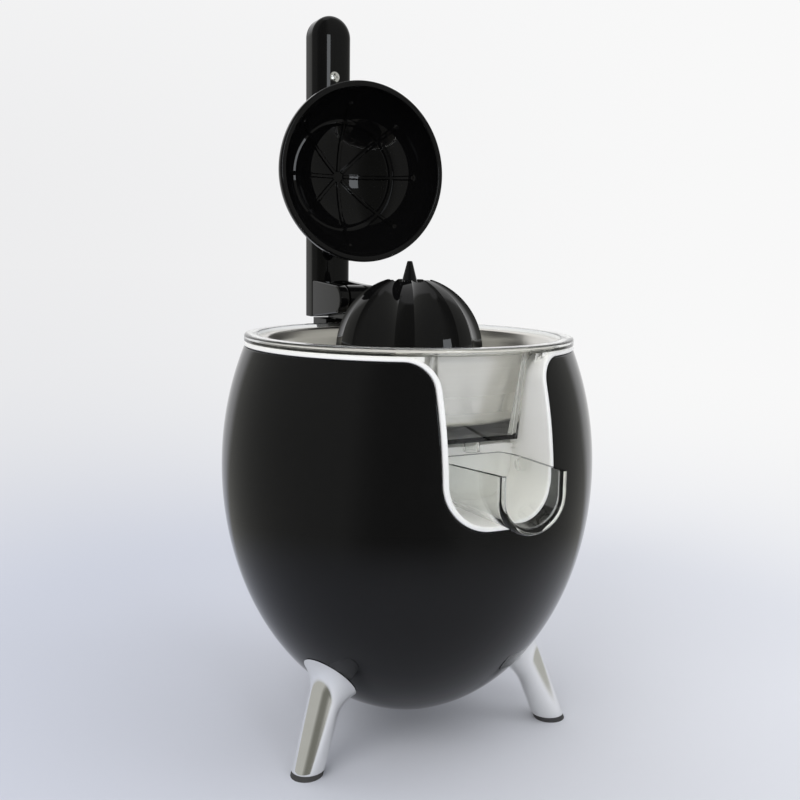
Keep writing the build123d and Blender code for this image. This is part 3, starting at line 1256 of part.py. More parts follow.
# Spout: clear, tilting on two trunnions in the walls of the recess
with BuildPart() as spout:
    with Locations((0, SPOUT_Y, SPOUT_Z)):
        Sphere(SPOUT_R)
    split(bisect_by=Plane.XZ.offset(-SPOUT_BACK_Y), keep=Keep.TOP)
    split(bisect_by=Plane.XZ.offset(-SPOUT_Y), keep=Keep.BOTTOM)
    split(bisect_by=Plane.XY.offset(SPOUT_Z + SPOUT_EAR), keep=Keep.BOTTOM)
    with BuildSketch(Plane.XZ.offset(-SPOUT_Y)):
        with Locations((0, SPOUT_Z)):
            Circle(SPOUT_R)
            Rectangle(2 * SPOUT_R, SPOUT_R, align=(Align.CENTER, Align.MIN))
        with Locations((0, SPOUT_Z + SPOUT_EAR)):
            Rectangle(3 * SPOUT_R, 2 * SPOUT_R, align=(Align.CENTER, Align.MIN), mode=Mode.SUBTRACT)
    with BuildSketch(Plane.XZ.offset(-LIP_Y - LIP_BEAD_R)):
        with Locations((0, LIP_FOOT_Z + LIP_HALF_W)):
            Circle(LIP_HALF_W)
            Rectangle(2 * LIP_HALF_W, SPOUT_R, align=(Align.CENTER, Align.MIN))
        with Locations((0, LIP_TOP_Z)):
            Rectangle(3 * SPOUT_R, 2 * SPOUT_R, align=(Align.CENTER, Align.MIN), mode=Mode.SUBTRACT)
    loft()
    with BuildSketch(Plane.YZ):
        with Locations((SPOUT_Y, SPOUT_Z)):
            Circle(TRUNNION_R)
    extrude(amount=NOTCH_HALF_W - GAP, both=True)
    add(spout_hollow.part, mode=Mode.SUBTRACT)
    # rolled bead round the lip
    bead_plane = Plane.XZ.offset(-LIP_Y - LIP_BEAD_R)
    bead_half_w = LIP_HALF_W - SPOUT_WALL / 2
    bead_mid_z = LIP_FOOT_Z + LIP_HALF_W
    with BuildLine(bead_plane) as bead_path:
        Line((-bead_half_w, LIP_TOP_Z), (-bead_half_w, bead_mid_z))
        CenterArc((0, bead_mid_z), bead_half_w, HALF_TURN, HALF_TURN)
        Line((bead_half_w, bead_mid_z), (bead_half_w, LIP_TOP_Z))
    with BuildSketch(Plane((-bead_half_w, LIP_Y + LIP_BEAD_R, LIP_TOP_Z), z_dir=(0, 0, -1))):
        Circle(LIP_BEAD_R)
    sweep(path=bead_path.wires()[0])
keep("spout", spout)

# Hinge bracket: a spine on the back of the shell with a tongue that reaches over the rim to the hinge
with BuildPart() as hinge_bracket:
    with BuildSketch(Plane.YZ):
        with BuildLine():
            Polyline(
                (0, SPINE_FOOT_Z),
                (SPINE_BACK_Y - SPINE_ROUND, SPINE_FOOT_Z),
                (SPINE_BACK_Y, SPINE_FOOT_Z + SPINE_ROUND),
                (SPINE_BACK_Y, ARM_FOOT_Z - GAP),
                (SPINE_INNER_Y, ARM_FOOT_Z - GAP),
                (SPINE_INNER_Y, RIM_Z),
                (0, RIM_Z),
                close=True,
            )
        make_face()
    extrude(amount=SPINE_HALF_W, both=True)
    fillet(hinge_bracket.edges().filter_by(Axis.Z).sort_by(Axis.Y)[-2:], SPINE_ROUND)
    add(egg_clear, mode=Mode.SUBTRACT)
    with BuildSketch(Plane.YZ):
        with Locations((HINGE_Y, HINGE_Z)):
            Circle(HINGE_EYE_R)
        with BuildLine():
            Polyline(
                (HINGE_Y - HINGE_EYE_R, HINGE_Z),
                (HINGE_Y, TONGUE_UNDER_Z),
                (SPINE_INNER_Y, TONGUE_UNDER_Z),
                (SPINE_INNER_Y, RIM_Z),
                (TONGUE_BACK_Y, RIM_Z),
                (TONGUE_BACK_Y, ARM_FOOT_Z - GAP),
                (HINGE_Y, HINGE_Z + HINGE_EYE_R),
                close=True,
            )
        make_face()
    extrude(amount=TONGUE_HALF_W, both=True)
    with BuildSketch(Plane.YZ):
        with Locations((HINGE_Y, HINGE_Z)):
            Circle(HINGE_PIN_R + RUNNING_GAP)
    extrude(amount=SPINE_HALF_W, both=True, mode=Mode.SUBTRACT)
    with BuildSketch(Plane.XZ):
        with Locations(*[(0, z) for z in BRACKET_SCREW_ZS]):
            Circle(SCREW_R + RUNNING_GAP)
    extrude(amount=-(SPINE_BACK_Y - SPINE_ROUND), mode=Mode.SUBTRACT)
keep("hinge_bracket", hinge_bracket)

# Backing plate inside the shell, bent to the egg
with BuildPart() as bracket_backing:
    add(egg_hollow)
    add(egg_backing, mode=Mode.SUBTRACT)
    with BuildSketch(Plane.XY.offset(BACKING_FOOT_Z)):
        Rectangle(2 * BACKING_HALF_W, EGG_R, align=(Align.CENTER, Align.MIN))
    extrude(amount=BACKING_TOP_Z - BACKING_FOOT_Z, mode=Mode.INTERSECT)
    with BuildSketch(Plane.XZ):
        with Locations(*[(0, z) for z in BRACKET_SCREW_ZS]):
            Circle(SCREW_R + GAP)
    extrude(amount=-EGG_R, mode=Mode.SUBTRACT)
keep("bracket_backing", bracket_backing)

# Screws from inside through the backing plate and the shell into the bracket
with BuildPart() as bracket_screws:
    for z in BRACKET_SCREW_ZS:
        seat_y = egg_radius(z + SCREW_HEAD_R, -SHELL_WALL - GAP - BACKING_WALL) - GAP
        with BuildSketch(Plane.XZ.offset(-seat_y)):
            with Locations((0, z)):
                Circle(SCREW_HEAD_R)
        extrude(amount=SCREW_HEAD_H)
        with BuildSketch(Plane.XZ.offset(-seat_y)):
            with Locations((0, z)):
                Circle(SCREW_R)
        extrude(amount=-(SPINE_BACK_Y - SPINE_ROUND - OVERRUN - seat_y))
keep("bracket_screws", bracket_screws)

# Lever arm: a rounded bar that stands upright, with two cheeks that reach forward to the hinge
with BuildPart() as lever_arm:
    arm_front = Plane.XZ.offset(-ARM_FRONT_Y)
    with BuildSketch(arm_front):
        with Locations((0, ARM_FOOT_Z)):
            Rectangle(2 * ARM_HALF_W, ARM_TOP_Z - ARM_HALF_W - ARM_FOOT_Z, align=(Align.CENTER, Align.MIN))
        with Locations((0, ARM_TOP_Z - ARM_HALF_W)):
            Circle(ARM_HALF_W)
    extrude(amount=-ARM_DEEP)
    fillet(lever_arm.faces().sort_by(Axis.Y)[0].edges(), ARM_ROUND)
    # cheeks either side of the bracket's tongue
    with BuildSketch(Plane.YZ):
        with Locations((HINGE_Y, HINGE_Z)):
            Circle(HINGE_EYE_R)
        with BuildLine():
            Polyline(
                (HINGE_Y, HINGE_Z - HINGE_EYE_R),
                (ARM_FRONT_Y + ARM_ROUND, ARM_FOOT_Z),
                (ARM_FRONT_Y + ARM_ROUND, CHEEK_TOP_Z),
                (HINGE_Y, HINGE_Z + HINGE_EYE_R),
                close=True,
            )
        make_face()
    extrude(amount=CHEEK_HALF_W, both=True)
    with BuildSketch(Plane.XY.offset(ARM_FOOT_Z)):
        with Locations((0, ARM_FRONT_Y)):
            Rectangle(2 * CHEEK_GAP_HALF_W, ARM_FRONT_Y, align=(Align.CENTER, Align.MAX))
    extrude(amount=ARM_TOP_Z - ARM_FOOT_Z, mode=Mode.SUBTRACT)
    with BuildSketch(Plane.YZ):
        with Locations((HINGE_Y, HINGE_Z)):
            Circle(HINGE_PIN_R)
    extrude(amount=CHEEK_HALF_W, both=True, mode=Mode.SUBTRACT)
    # slot and pin hole for the press cup's lug
    with BuildSketch(arm_front):
        with Locations((0, CUP_Z)):
            Rectangle(2 * CUP_SLOT_HALF_W, 2 * CUP_SLOT_HALF_H)
    extrude(amount=-CUP_SLOT_DEEP, mode=Mode.SUBTRACT)
    with BuildSketch(Plane.YZ):
        with Locations((CUP_PIN_Y, CUP_Z)):
            Circle(CUP_PIN_R)
    extrude(amount=CUP_PIN_HALF_L, both=True, mode=Mode.SUBTRACT)
    # hole of the front screw, which holds the back cover
    with BuildSketch(arm_front):
        with Locations((0, FRONT_SCREW_Z)):
            Circle(SCREW_R + GAP)
    extrude(amount=-ARM_DEEP, mode=Mode.SUBTRACT)
    with BuildSketch(arm_front):
        with Locations((0, FRONT_SCREW_Z)):
            Circle(SCREW_HEAD_R + GAP)
    extrude(amount=-SCREW_HEAD_H, mode=Mode.SUBTRACT)
keep("lever_arm", lever_arm)

# Back cover of the lever, with rounded edges
with BuildPart() as lever_back_cover:
    with BuildSketch(Plane.XZ.offset(-ARM_BACK_Y)):
        with Locations((0, ARM_FOOT_Z)):
            Rectangle(2 * ARM_HALF_W, ARM_TOP_Z - ARM_HALF_W - ARM_FOOT_Z, align=(Align.CENTER, Align.MIN))
        with Locations((0, ARM_TOP_Z - ARM_HALF_W)):
            Circle(ARM_HALF_W)
    extrude(amount=-ARM_COVER_H)
    fillet(lever_back_cover.faces().sort_by(Axis.Y)[-1].edges(), ARM_COVER_ROUND)
    with BuildSketch(Plane.XZ.offset(-ARM_BACK_Y)):
        with Locations((0, FRONT_SCREW_Z)):
            Circle(SCREW_R + RUNNING_GAP)
    extrude(amount=-(ARM_COVER_H - ARM_COVER_SKIN), mode=Mode.SUBTRACT)
keep("lever_back_cover", lever_back_cover)

# Front screw, which ties the back cover to the arm
with BuildPart() as lever_screw:
    with BuildSketch(Plane.XZ.offset(-ARM_FRONT_Y)):
        with Locations((0, FRONT_SCREW_Z)):
            Circle(SCREW_HEAD_R)
    extrude(amount=-SCREW_HEAD_H)
    with BuildSketch(Plane.XZ.offset(-ARM_FRONT_Y)):
        with Locations((0, FRONT_SCREW_Z)):
            Circle(SCREW_R)
    extrude(amount=-(ARM_DEEP + ARM_COVER_H - 2 * ARM_COVER_SKIN))
keep("lever_screw", lever_screw)

# Hinge pin, pressed into the cheeks and turning in the bracket's eye
with BuildPart() as hinge_pin:
    with BuildSketch(Plane.YZ):
        with Locations((HINGE_Y, HINGE_Z)):
            Circle(HINGE_PIN_R)
    extrude(amount=CHEEK_HALF_W, both=True)
keep("hinge_pin", hinge_pin)

# Ribs and a ring inside the press cup, which grip the fruit
cup_axis = Axis((0, 0, CUP_Z), (0, 1, 0))
with BuildPart() as cup_grip:
    with BuildSketch(Plane.YZ):
        with Locations((CUP_MOUTH_Y, CUP_Z)):
            Ellipse(CUP_DEPTH - CUP_WALL / 2, CUP_R - CUP_WALL / 2)
            Ellipse(CUP_DEPTH - CUP_WALL - GRIP_H, CUP_R - CUP_WALL - GRIP_H, mode=Mode.SUBTRACT)
            Rectangle(2 * CUP_R, 3 * CUP_R, align=(Align.MAX, Align.CENTER), mode=Mode.SUBTRACT)
            Rectangle(2 * CUP_R, 2 * CUP_R, align=(Align.CENTER, Align.MAX), mode=Mode.SUBTRACT)
    revolve(axis=cup_axis)
    with BuildSketch(Plane.XZ.offset(-CUP_MOUTH_Y)):
        with Locations((0, CUP_Z)):
            Circle(GRIP_RING_R + GRIP_W / 2)
            Circle(GRIP_RING_R - GRIP_W / 2, mode=Mode.SUBTRACT)
            with PolarLocations(0, GRIP_RIBS):
                Rectangle(CUP_R - GRIP_END, GRIP_W, align=(Align.MIN, Align.CENTER))
    extrude(amount=-CUP_DEPTH, mode=Mode.INTERSECT)

# Press cup: a shallow dome with a thick lip, a dimple where the grip's ribs meet, and a lug that
# tilts in the arm's slot
with BuildPart() as press_cup:
    with BuildSketch(Plane.YZ):
        with Locations((CUP_MOUTH_Y, CUP_Z)):
            Ellipse(CUP_DEPTH, CUP_R)
            Rectangle(CUP_LIP_H, CUP_R + CUP_LIP_W, align=(Align.MIN, Align.MIN))
            Ellipse(CUP_DEPTH - CUP_WALL, CUP_R - CUP_WALL, mode=Mode.SUBTRACT)
            Rectangle(2 * CUP_R, 3 * CUP_R, align=(Align.MAX, Align.CENTER), mode=Mode.SUBTRACT)
            Rectangle(2 * CUP_R, 2 * CUP_R, align=(Align.CENTER, Align.MAX), mode=Mode.SUBTRACT)
    revolve(axis=cup_axis)
    lug_l = CUP_PIN_DEEP + CUP_BACK_GAP + CUP_WALL / 2
    with BuildSketch(Plane.YZ):
        with Locations((CUP_PIN_Y, CUP_Z)):
            Circle(CUP_LUG_R)
            Rectangle(lug_l, 2 * CUP_LUG_R, align=(Align.MAX, Align.CENTER))
    extrude(amount=CUP_LUG_HALF_W, both=True)
    add(cup_grip.part)
    with BuildSketch(Plane.XZ.offset(-CUP_MOUTH_Y)):
        with Locations((0, CUP_Z)):
            Circle(GRIP_DIMPLE_R)
    extrude(amount=-(CUP_DEPTH - CUP_WALL / 2), mode=Mode.SUBTRACT)
    with BuildSketch(Plane.YZ):
        with Locations((CUP_PIN_Y, CUP_Z)):
            Circle(CUP_PIN_R + RUNNING_GAP)
    extrude(amount=CUP_LUG_HALF_W, both=True, mode=Mode.SUBTRACT)
keep("press_cup", press_cup)

# Pin on which the cup tilts, pressed into the arm
with BuildPart() as cup_pin:
    with BuildSketch(Plane.YZ):
        with Locations((CUP_PIN_Y, CUP_Z)):
            Circle(CUP_PIN_R)
    extrude(amount=CUP_PIN_HALF_L, both=True)
keep("cup_pin", cup_pin)

os.makedirs("parts", exist_ok=True)
for label, piece in finished.items():
    export_step(piece, f"parts/{label}.step")
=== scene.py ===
"""Looks of an electric lever citrus press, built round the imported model.

Each visible moulding is a surface worked out with numpy from the sizes of its sub-assembly, in
millimetres, and written to its mesh in metres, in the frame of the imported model.
"""

import json
import logging
import math
from dataclasses import dataclass
from enum import Enum
from typing import Any, ClassVar, Sequence

import bmesh
import bpy
import numpy as np
from mathutils import Matrix, Vector


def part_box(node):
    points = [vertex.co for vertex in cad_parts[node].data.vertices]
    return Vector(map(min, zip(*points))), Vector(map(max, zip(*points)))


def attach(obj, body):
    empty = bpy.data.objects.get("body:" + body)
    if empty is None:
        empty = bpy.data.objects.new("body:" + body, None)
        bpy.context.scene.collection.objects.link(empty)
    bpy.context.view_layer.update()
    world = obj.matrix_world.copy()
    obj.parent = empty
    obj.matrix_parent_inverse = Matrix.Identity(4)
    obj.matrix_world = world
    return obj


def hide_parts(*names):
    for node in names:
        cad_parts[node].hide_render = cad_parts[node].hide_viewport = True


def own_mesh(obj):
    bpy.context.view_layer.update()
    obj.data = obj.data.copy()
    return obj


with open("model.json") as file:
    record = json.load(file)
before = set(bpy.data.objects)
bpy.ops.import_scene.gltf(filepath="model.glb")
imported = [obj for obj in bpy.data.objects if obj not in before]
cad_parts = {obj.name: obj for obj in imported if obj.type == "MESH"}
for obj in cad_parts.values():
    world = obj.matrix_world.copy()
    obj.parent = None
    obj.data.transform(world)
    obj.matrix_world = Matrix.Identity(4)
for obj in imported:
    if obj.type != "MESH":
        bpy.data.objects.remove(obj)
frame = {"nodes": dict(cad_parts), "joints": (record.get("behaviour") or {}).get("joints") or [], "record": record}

MM = 0.001
WELD = 2e-6
ROUND = 96
SOFT_ROWS = 6
IMAGE_SIDE = 800
SENSOR = 36.0
TINY = 1e-9
NOISE_MIDDLE = 0.5
LEGS = {"foot_front_left": 208.0, "foot_front_right": 332.0, "foot_rear": 90.0}

Colour = Place = tuple[float, float, float]
Array = np.ndarray

log = logging.getLogger("citrus_press")


class Wire:
    """A shader socket that takes part in Python expressions on single values."""

    def __init__(self, graph: "Graph", socket: bpy.types.NodeSocket) -> None:
        """Keep the socket and the graph that new nodes go into."""
        self.graph = graph
        self.socket = socket

    def _math(self, operation: str, first: Any, second: Any) -> "Wire":
        """Add one Math node.

        Args:
            operation: the node's operation.
            first: the upper value or wire.
            second: the lower value or wire.

        Returns:
            The node's result.
        """
        values = {0: first, 1: second}
        return self.graph.add("ShaderNodeMath", {"operation": operation}, values, "Value")

    def __add__(self, other: Any) -> "Wire":
        """Sum of the wire and a value."""
        return self._math("ADD", self, other)

    __radd__ = __add__

    def __sub__(self, other: Any) -> "Wire":
        """The wire less a value."""
        return self._math("SUBTRACT", self, other)

    def __rsub__(self, other: Any) -> "Wire":
        """A value less the wire."""
        return self._math("SUBTRACT", other, self)

    def __mul__(self, other: Any) -> "Wire":
        """Product of the wire and a value."""
        return self._math("MULTIPLY", self, other)

    __rmul__ = __mul__

    def __truediv__(self, other: Any) -> "Wire":
        """The wire divided by a value."""
        return self._math("DIVIDE", self, other)

    def __rtruediv__(self, other: Any) -> "Wire":
        """A value divided by the wire."""
        return self._math("DIVIDE", other, self)

    def __pow__(self, other: Any) -> "Wire":
        """The wire to a power."""
        return self._math("POWER", self, other)


class Graph:
    """A node tree that is written as calls."""

    def __init__(self, tree: bpy.types.NodeTree) -> None:
        """Empty the tree and keep it."""
        tree.nodes.clear()
        self.tree = tree

    def add(
        self, kind: str, settings: dict | None = None, inputs: dict | None = None, out: Any = 0
    ) -> Wire:
        """Add one node.

        Args:
            kind: the node's type.
            settings: properties that are set first.
            inputs: values or wires by the name or number of the socket.
            out: name or number of the output that is wanted.

        Returns:
            That output.
        """
        node = self.tree.nodes.new(kind)
        for key, value in (settings or {}).items():
            setattr(node, key, value)
        for key, value in (inputs or {}).items():
            if isinstance(value, Wire):
                self.tree.links.new(value.socket, node.inputs[key])
            else:
                node.inputs[key].default_value = value
        return Wire(self, node.outputs[out]) if len(node.outputs) else Wire(self, None)

    def mix(self, share: Any, low: Any, high: Any) -> Wire:
        """Mix two colours.

        Args:
            share: how much of the second colour.
            low: the first colour or wire.
            high: the second colour or wire.

        Returns:
            The mixed colour.
        """
        colours = {0: share, 6: _rgba(low), 7: _rgba(high)}
        return self.add("ShaderNodeMix", {"data_type": "RGBA"}, colours, 2)

    def axes(self, spot: Wire) -> list[Wire]:
        """The x, y and z of a vector."""
        return [self.add("ShaderNodeSeparateXYZ", None, {0: spot}, key) for key in "XYZ"]


def _rgba(colour: Any) -> Any:
    """Give a plain colour its alpha, and leave a wire as it is."""
    return colour if isinstance(colour, Wire) else (*colour, 1.0)


def new_material(name: str) -> tuple[bpy.types.Material, Graph]:
    """Make a material, in the place of the plain one of that name that the frame may bring in.

    Args:
        name: the material's name.

    Returns:
        The material and its empty graph.
    """
    plain = bpy.data.materials.get(name)
    if plain:
        bpy.data.materials.remove(plain)
    material = bpy.data.materials.new(name)
    material.use_nodes = True
    return material, Graph(material.node_tree)


class Grain(Enum):
    """How a finish varies over its surface."""

    MOULDED = "the same in all directions"
    SPUN = "rings about the upright axis"
    DRAWN = "lines along the upright axis"


@dataclass(frozen=True)
class Finish:
    """A finish with a colour that drifts, a roughness that varies and a fine relief.

    Attributes:
        name: the record's material slot.
        tone: main colour.
        drift: colour that it drifts towards.
        rough: mean roughness.
        swing: how far the roughness goes either way.
        scale: size of the grain, in cells a metre.
        relief: height of the fine relief, in metres.
        metal: 1 for bare metal.
        clear: 1 for a see-through plastic.
        index: index of refraction.
        grain: how it varies.
        drawn_out: how much a drawn grain is stretched.
        along_ring: how slowly a spun grain changes along a ring.
        coarser: how much larger the broad grain is than the fine one.
        fine_detail: octaves of the fine grain.
        broad_detail: octaves of the broad grain.
        fine_share: how much the fine grain counts in the colour.
        mottle: values of the grain between which the colour drifts.
    """

    name: str
    tone: Colour
    drift: Colour
    rough: float
    swing: float
    scale: float
    relief: float
    metal: float = 0.0
    clear: float = 0.0
    index: float = 1.5
    grain: Grain = Grain.MOULDED
    drawn_out: ClassVar[float] = 0.03
    along_ring: ClassVar[float] = 0.02
    coarser: ClassVar[float] = 12.0
    fine_detail: ClassVar[float] = 4.0
    broad_detail: ClassVar[float] = 2.0
    fine_share: ClassVar[float] = 0.45
    mottle: ClassVar[tuple[float, float]] = (0.3, 0.7)

    def place(self, graph: Graph) -> Wire:
        """Object coordinates, drawn out along the grain.

        Args:
            graph: the material's graph.

        Returns:
            The coordinates that the noise reads.
        """
        spot = graph.add("ShaderNodeTexCoord", out="Object")
        if self.grain is Grain.MOULDED:
            return spot
        if self.grain is Grain.DRAWN:
            stretch = (1.0, 1.0, self.drawn_out)
            return graph.add("ShaderNodeMapping", None, {"Vector": spot, "Scale": stretch})
        x, y, z = graph.axes(spot)
        radius = (x * x + y * y) ** 0.5
        return graph.add("ShaderNodeCombineXYZ", None, {0: radius, 1: z, 2: x * self.along_ring})

    def make(self) -> None:
        """Build the material, named after the slot."""
        _, graph = new_material(self.name)
        spot = self.place(graph)
        grains = (self.scale, self.fine_detail), (self.scale / self.coarser, self.broad_detail)
        fine, broad = (
            graph.add("ShaderNodeTexNoise", None, {"Vector": spot, "Scale": size, "Detail": detail})
            for size, detail in grains
        )
        mixed = fine * self.fine_share + broad * (1 - self.fine_share)
        low, high = self.mottle
        shade = graph.add("ShaderNodeMapRange", None, {0: mixed, 1: low, 2: high})
        relief = {"Height": fine, "Distance": self.relief, "Strength": 1.0}
        inputs = {
            "Base Color": graph.mix(shade, self.tone, self.drift),
            "Roughness": (broad - NOISE_MIDDLE) * (2 * self.swing) + self.rough,
            "Metallic": self.metal,
            "Transmission Weight": self.clear,
            "IOR": self.index,
            "Normal": graph.add("ShaderNodeBump", None, relief),
        }
        surface = graph.add("ShaderNodeBsdfPrincipled", None, inputs)
        if self.clear:
            shadow = graph.add("ShaderNodeLightPath", out="Is Shadow Ray")
            through = graph.add("ShaderNodeBsdfTransparent", None, {0: _rgba(self.tone)})
            surface = graph.add("ShaderNodeMixShader", None, {0: shadow, 1: surface, 2: through})
        graph.add("ShaderNodeOutputMaterial", None, {0: surface})


FINISHES = (
    Finish("gloss_black", (0.0030, 0.0030, 0.0032), (0.0040, 0.0039, 0.0040), 0.025, 0.008, 240,
           1e-6, index=1.31),
    Finish("white_plastic", (0.90, 0.895, 0.87), (0.87, 0.865, 0.84), 0.30, 0.05, 320, 4e-6),
    Finish("clear_plastic", (0.95, 0.955, 0.94), (0.93, 0.94, 0.925), 0.004, 0.003, 60, 4e-7,
           clear=1, index=1.49),
    Finish("stainless", (0.82, 0.80, 0.76), (0.74, 0.72, 0.68), 0.28, 0.06, 900, 4e-6,
           metal=1, grain=Grain.SPUN),
    Finish("chrome", (0.93, 0.93, 0.92), (0.88, 0.88, 0.86), 0.10, 0.03, 120, 1e-6, metal=1),
    Finish("rubber", (0.035, 0.035, 0.036), (0.06, 0.058, 0.056), 0.72, 0.08, 700, 3e-5),
    Finish("steel", (0.56, 0.56, 0.57), (0.46, 0.46, 0.47), 0.30, 0.08, 500, 6e-6,
           metal=1, grain=Grain.DRAWN),
    Finish("bronze", (0.60, 0.42, 0.21), (0.48, 0.33, 0.17), 0.38, 0.08, 600, 1e-5, metal=1),
    Finish("copper", (0.70, 0.33, 0.16), (0.58, 0.25, 0.11), 0.30, 0.08, 900, 4e-5,
           metal=1, grain=Grain.SPUN),
    Finish("gear_plastic", (0.74, 0.71, 0.62), (0.68, 0.65, 0.56), 0.42, 0.06, 300, 8e-6),
    Finish("dark_plastic", (0.014, 0.014, 0.015), (0.022, 0.022, 0.023), 0.38, 0.06, 520, 1.5e-5),
)


@dataclass
class Patch:
    """A grid of points, whose rows or columns may close on themselves.

    Attributes:
        points: rows by columns by three.
        close_rows: the last row is joined to the first.
        close_columns: the last column is joined to the first.
        keep: which cells have a face, or None for all.
    """

    points: Array
    close_rows: bool = False
    close_columns: bool = False
    keep: Array | None = None

    def faces(self, first: int) -> Array:
        """Four-cornered faces of the grid.

        Args:
            first: number of the grid's first point in the mesh.

        Returns:
            One row of four point numbers a face.
        """
        rows, columns = self.points.shape[:2]
        index = np.arange(rows * columns).reshape(rows, columns) + first
        index = np.vstack([index, index[:1]]) if self.close_rows else index
        index = np.hstack([index, index[:, :1]]) if self.close_columns else index
        quads = np.stack([index[:-1, :-1], index[:-1, 1:], index[1:, 1:], index[1:, :-1]], -1)
        return (quads if self.keep is None else quads[self.keep]).reshape(-1, 4)


def make_piece(name: str, patches: Sequence[Patch], sharp: float = 32.0) -> bpy.types.Object:
    """Join patches into one mesh, weld their seams and poles and turn the faces outwards.

    Args:
        name: the piece's name.
        patches: grids in millimetres.
        sharp: edges that turn by more than this many degrees stay crisp.

    Returns:
        The new object, at the origin.
    """
    points = np.concatenate([p.points.reshape(-1, 3) for p in patches]) * MM
    firsts = np.cumsum([0] + [p.points.shape[0] * p.points.shape[1] for p in patches])
    quads = np.concatenate([p.faces(int(first)) for p, first in zip(patches, firsts)])
    mesh = bpy.data.meshes.new(name)
    mesh.vertices.add(len(points))
    mesh.vertices.foreach_set("co", points.astype(np.float32).ravel())
    mesh.loops.add(quads.size)
    mesh.loops.foreach_set("vertex_index", quads.astype(np.int32).ravel())
    mesh.polygons.add(len(quads))
    mesh.polygons.foreach_set("loop_start", np.arange(0, quads.size, 4, dtype=np.int32))
    mesh.update(calc_edges=True)
    work = bmesh.new()
    work.from_mesh(mesh)
    bmesh.ops.remove_doubles(work, verts=work.verts, dist=WELD)
    bmesh.ops.recalc_face_normals(work, faces=work.faces)
    work.to_mesh(mesh)
    work.free()
    mesh.polygons.foreach_set("use_smooth", np.ones(len(mesh.polygons), dtype=bool))
    mesh.set_sharp_from_angle(angle=math.radians(sharp))
    piece = bpy.data.objects.new(name, mesh)
    bpy.context.scene.collection.objects.link(piece)
    return piece


def turn(count: int) -> Array:
    """Angles of a full turn, evenly spaced, without the last."""
    return np.arange(count) * (2 * math.pi / count)


def join(*parts: Any) -> Array:
    """Parts of a line or a grid, one after the other."""
    return np.concatenate(parts)


def as_points(*axes: Array) -> Array:
    """Points or directions from their values along each axis."""
    return np.stack(axes, -1)


def part_way(start: Any, end: Any, share: Any) -> Any:
    """A value that lies a share of the way from one to another."""
    return start * (1 - share) + end * share


def raise_flat(flat: Array, axis: int, place: Any) -> Array:
    """Set a flat line in space, by putting its place along an axis between its own two numbers.

    Args:
        flat: one row of two numbers a point.
        axis: which of x, y and z is put in.
        place: its value, or one a point.

    Returns:
        One row of three numbers a point.
    """
    return np.insert(flat, axis, place, axis=1)


def gather(point: Sequence[float], row: Array) -> Array:
    """A row as long as another with all its points in one place, which closes a patch."""
    return np.broadcast_to(np.array(point), row.shape)


def capped(rows: Sequence[Array], hub: Sequence[float]) -> Patch:
    """Join rows that lie across the x axis, and close the first and the last towards a middle.

    Args:
        rows: closed lines, each at one x.
        hub: y and z of the middle of both end faces.

    Returns:
        The closed patch.
    """
    near, far = (gather((row[0, 0], *hub), row) for row in (rows[0], rows[-1]))
    return Patch(np.stack([near, *rows, far]), close_columns=True)


def spin(profile: Array, angles: Array) -> Array:
    """Carry a profile of radius and height round the upright axis.

    A point is (radius cos angle, radius sin angle, height).

    Args:
        profile: one row of radius and height a point.
        angles: angles in radians.

    Returns:
        Grid with a row for each point of the profile.
    """
    radius, height = profile[:, :1], profile[:, 1:2] + np.zeros_like(angles)
    return as_points(radius * np.cos(angles), radius * np.sin(angles), height)


def bend(centre: Sequence[float], radius: float, start: float, end: float, count: int = 7) -> Array:
    """Points of an arc in a profile: centre plus radius times the cosine and sine of each angle.

    Args:
        centre: the arc's centre.
        radius: the arc's radius.
        start: first angle in degrees.
        end: last angle in degrees.
        count: number of points.

    Returns:
        One row of two numbers a point.
    """
    angle = np.radians(np.linspace(start, end, count))
    return as_points(centre[0] + radius * np.cos(angle), centre[1] + radius * np.sin(angle))


def run(start: Sequence[float], end: Sequence[float], count: int) -> Array:
    """Evenly spaced points on a straight line, ends included."""
    share = np.linspace(0.0, 1.0, count)[:, None]
    return part_way(np.asarray(start, float), np.asarray(end, float), share)


def box_mm(node: str) -> tuple[Array, Array]:
    """Lowest and highest corner of a node of the frame, in millimetres."""
    low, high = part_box(node)
    return np.array(low) / MM, np.array(high) / MM


def joint_spot(name: str) -> Array:
    """Where a joint's axis passes, in millimetres."""
    return np.array(next(j["pos_m"] for j in frame["joints"] if j["name"] == name)) / MM


def press_spring(node: str, joint: str) -> None:
    """Work out how much of its length a spring keeps when a sliding joint goes its whole way, give it a mesh of
    its own and log that share.

    Args:
        node: the spring's node in the frame.
        joint: the joint that presses it.
    """
    low, high = box_mm(node)
    way = max(next(j["range_m"] for j in frame["joints"] if j["name"] == joint)) / MM
    keep = 1.0 - way / (high[2] - low[2])
    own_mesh(frame["nodes"][node])
    log.info("%s: shortens to %.2f with %s", node, keep, joint)


def dress(piece: bpy.types.Object, body: str, slot: str, *nodes: str) -> None:
    """Give a piece its finish and the body that it rides on.

    Args:
        piece: the new piece.
        body: body of the frame.
        slot: the record's material slot.
        nodes: nodes of the frame that the piece stands for.
    """
    piece.data.materials.append(bpy.data.materials[slot])
    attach(piece, body)
    if nodes:
        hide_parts(*nodes)
    log.info("%s: %d faces, rides on %s", piece.name, len(piece.data.polygons), body)


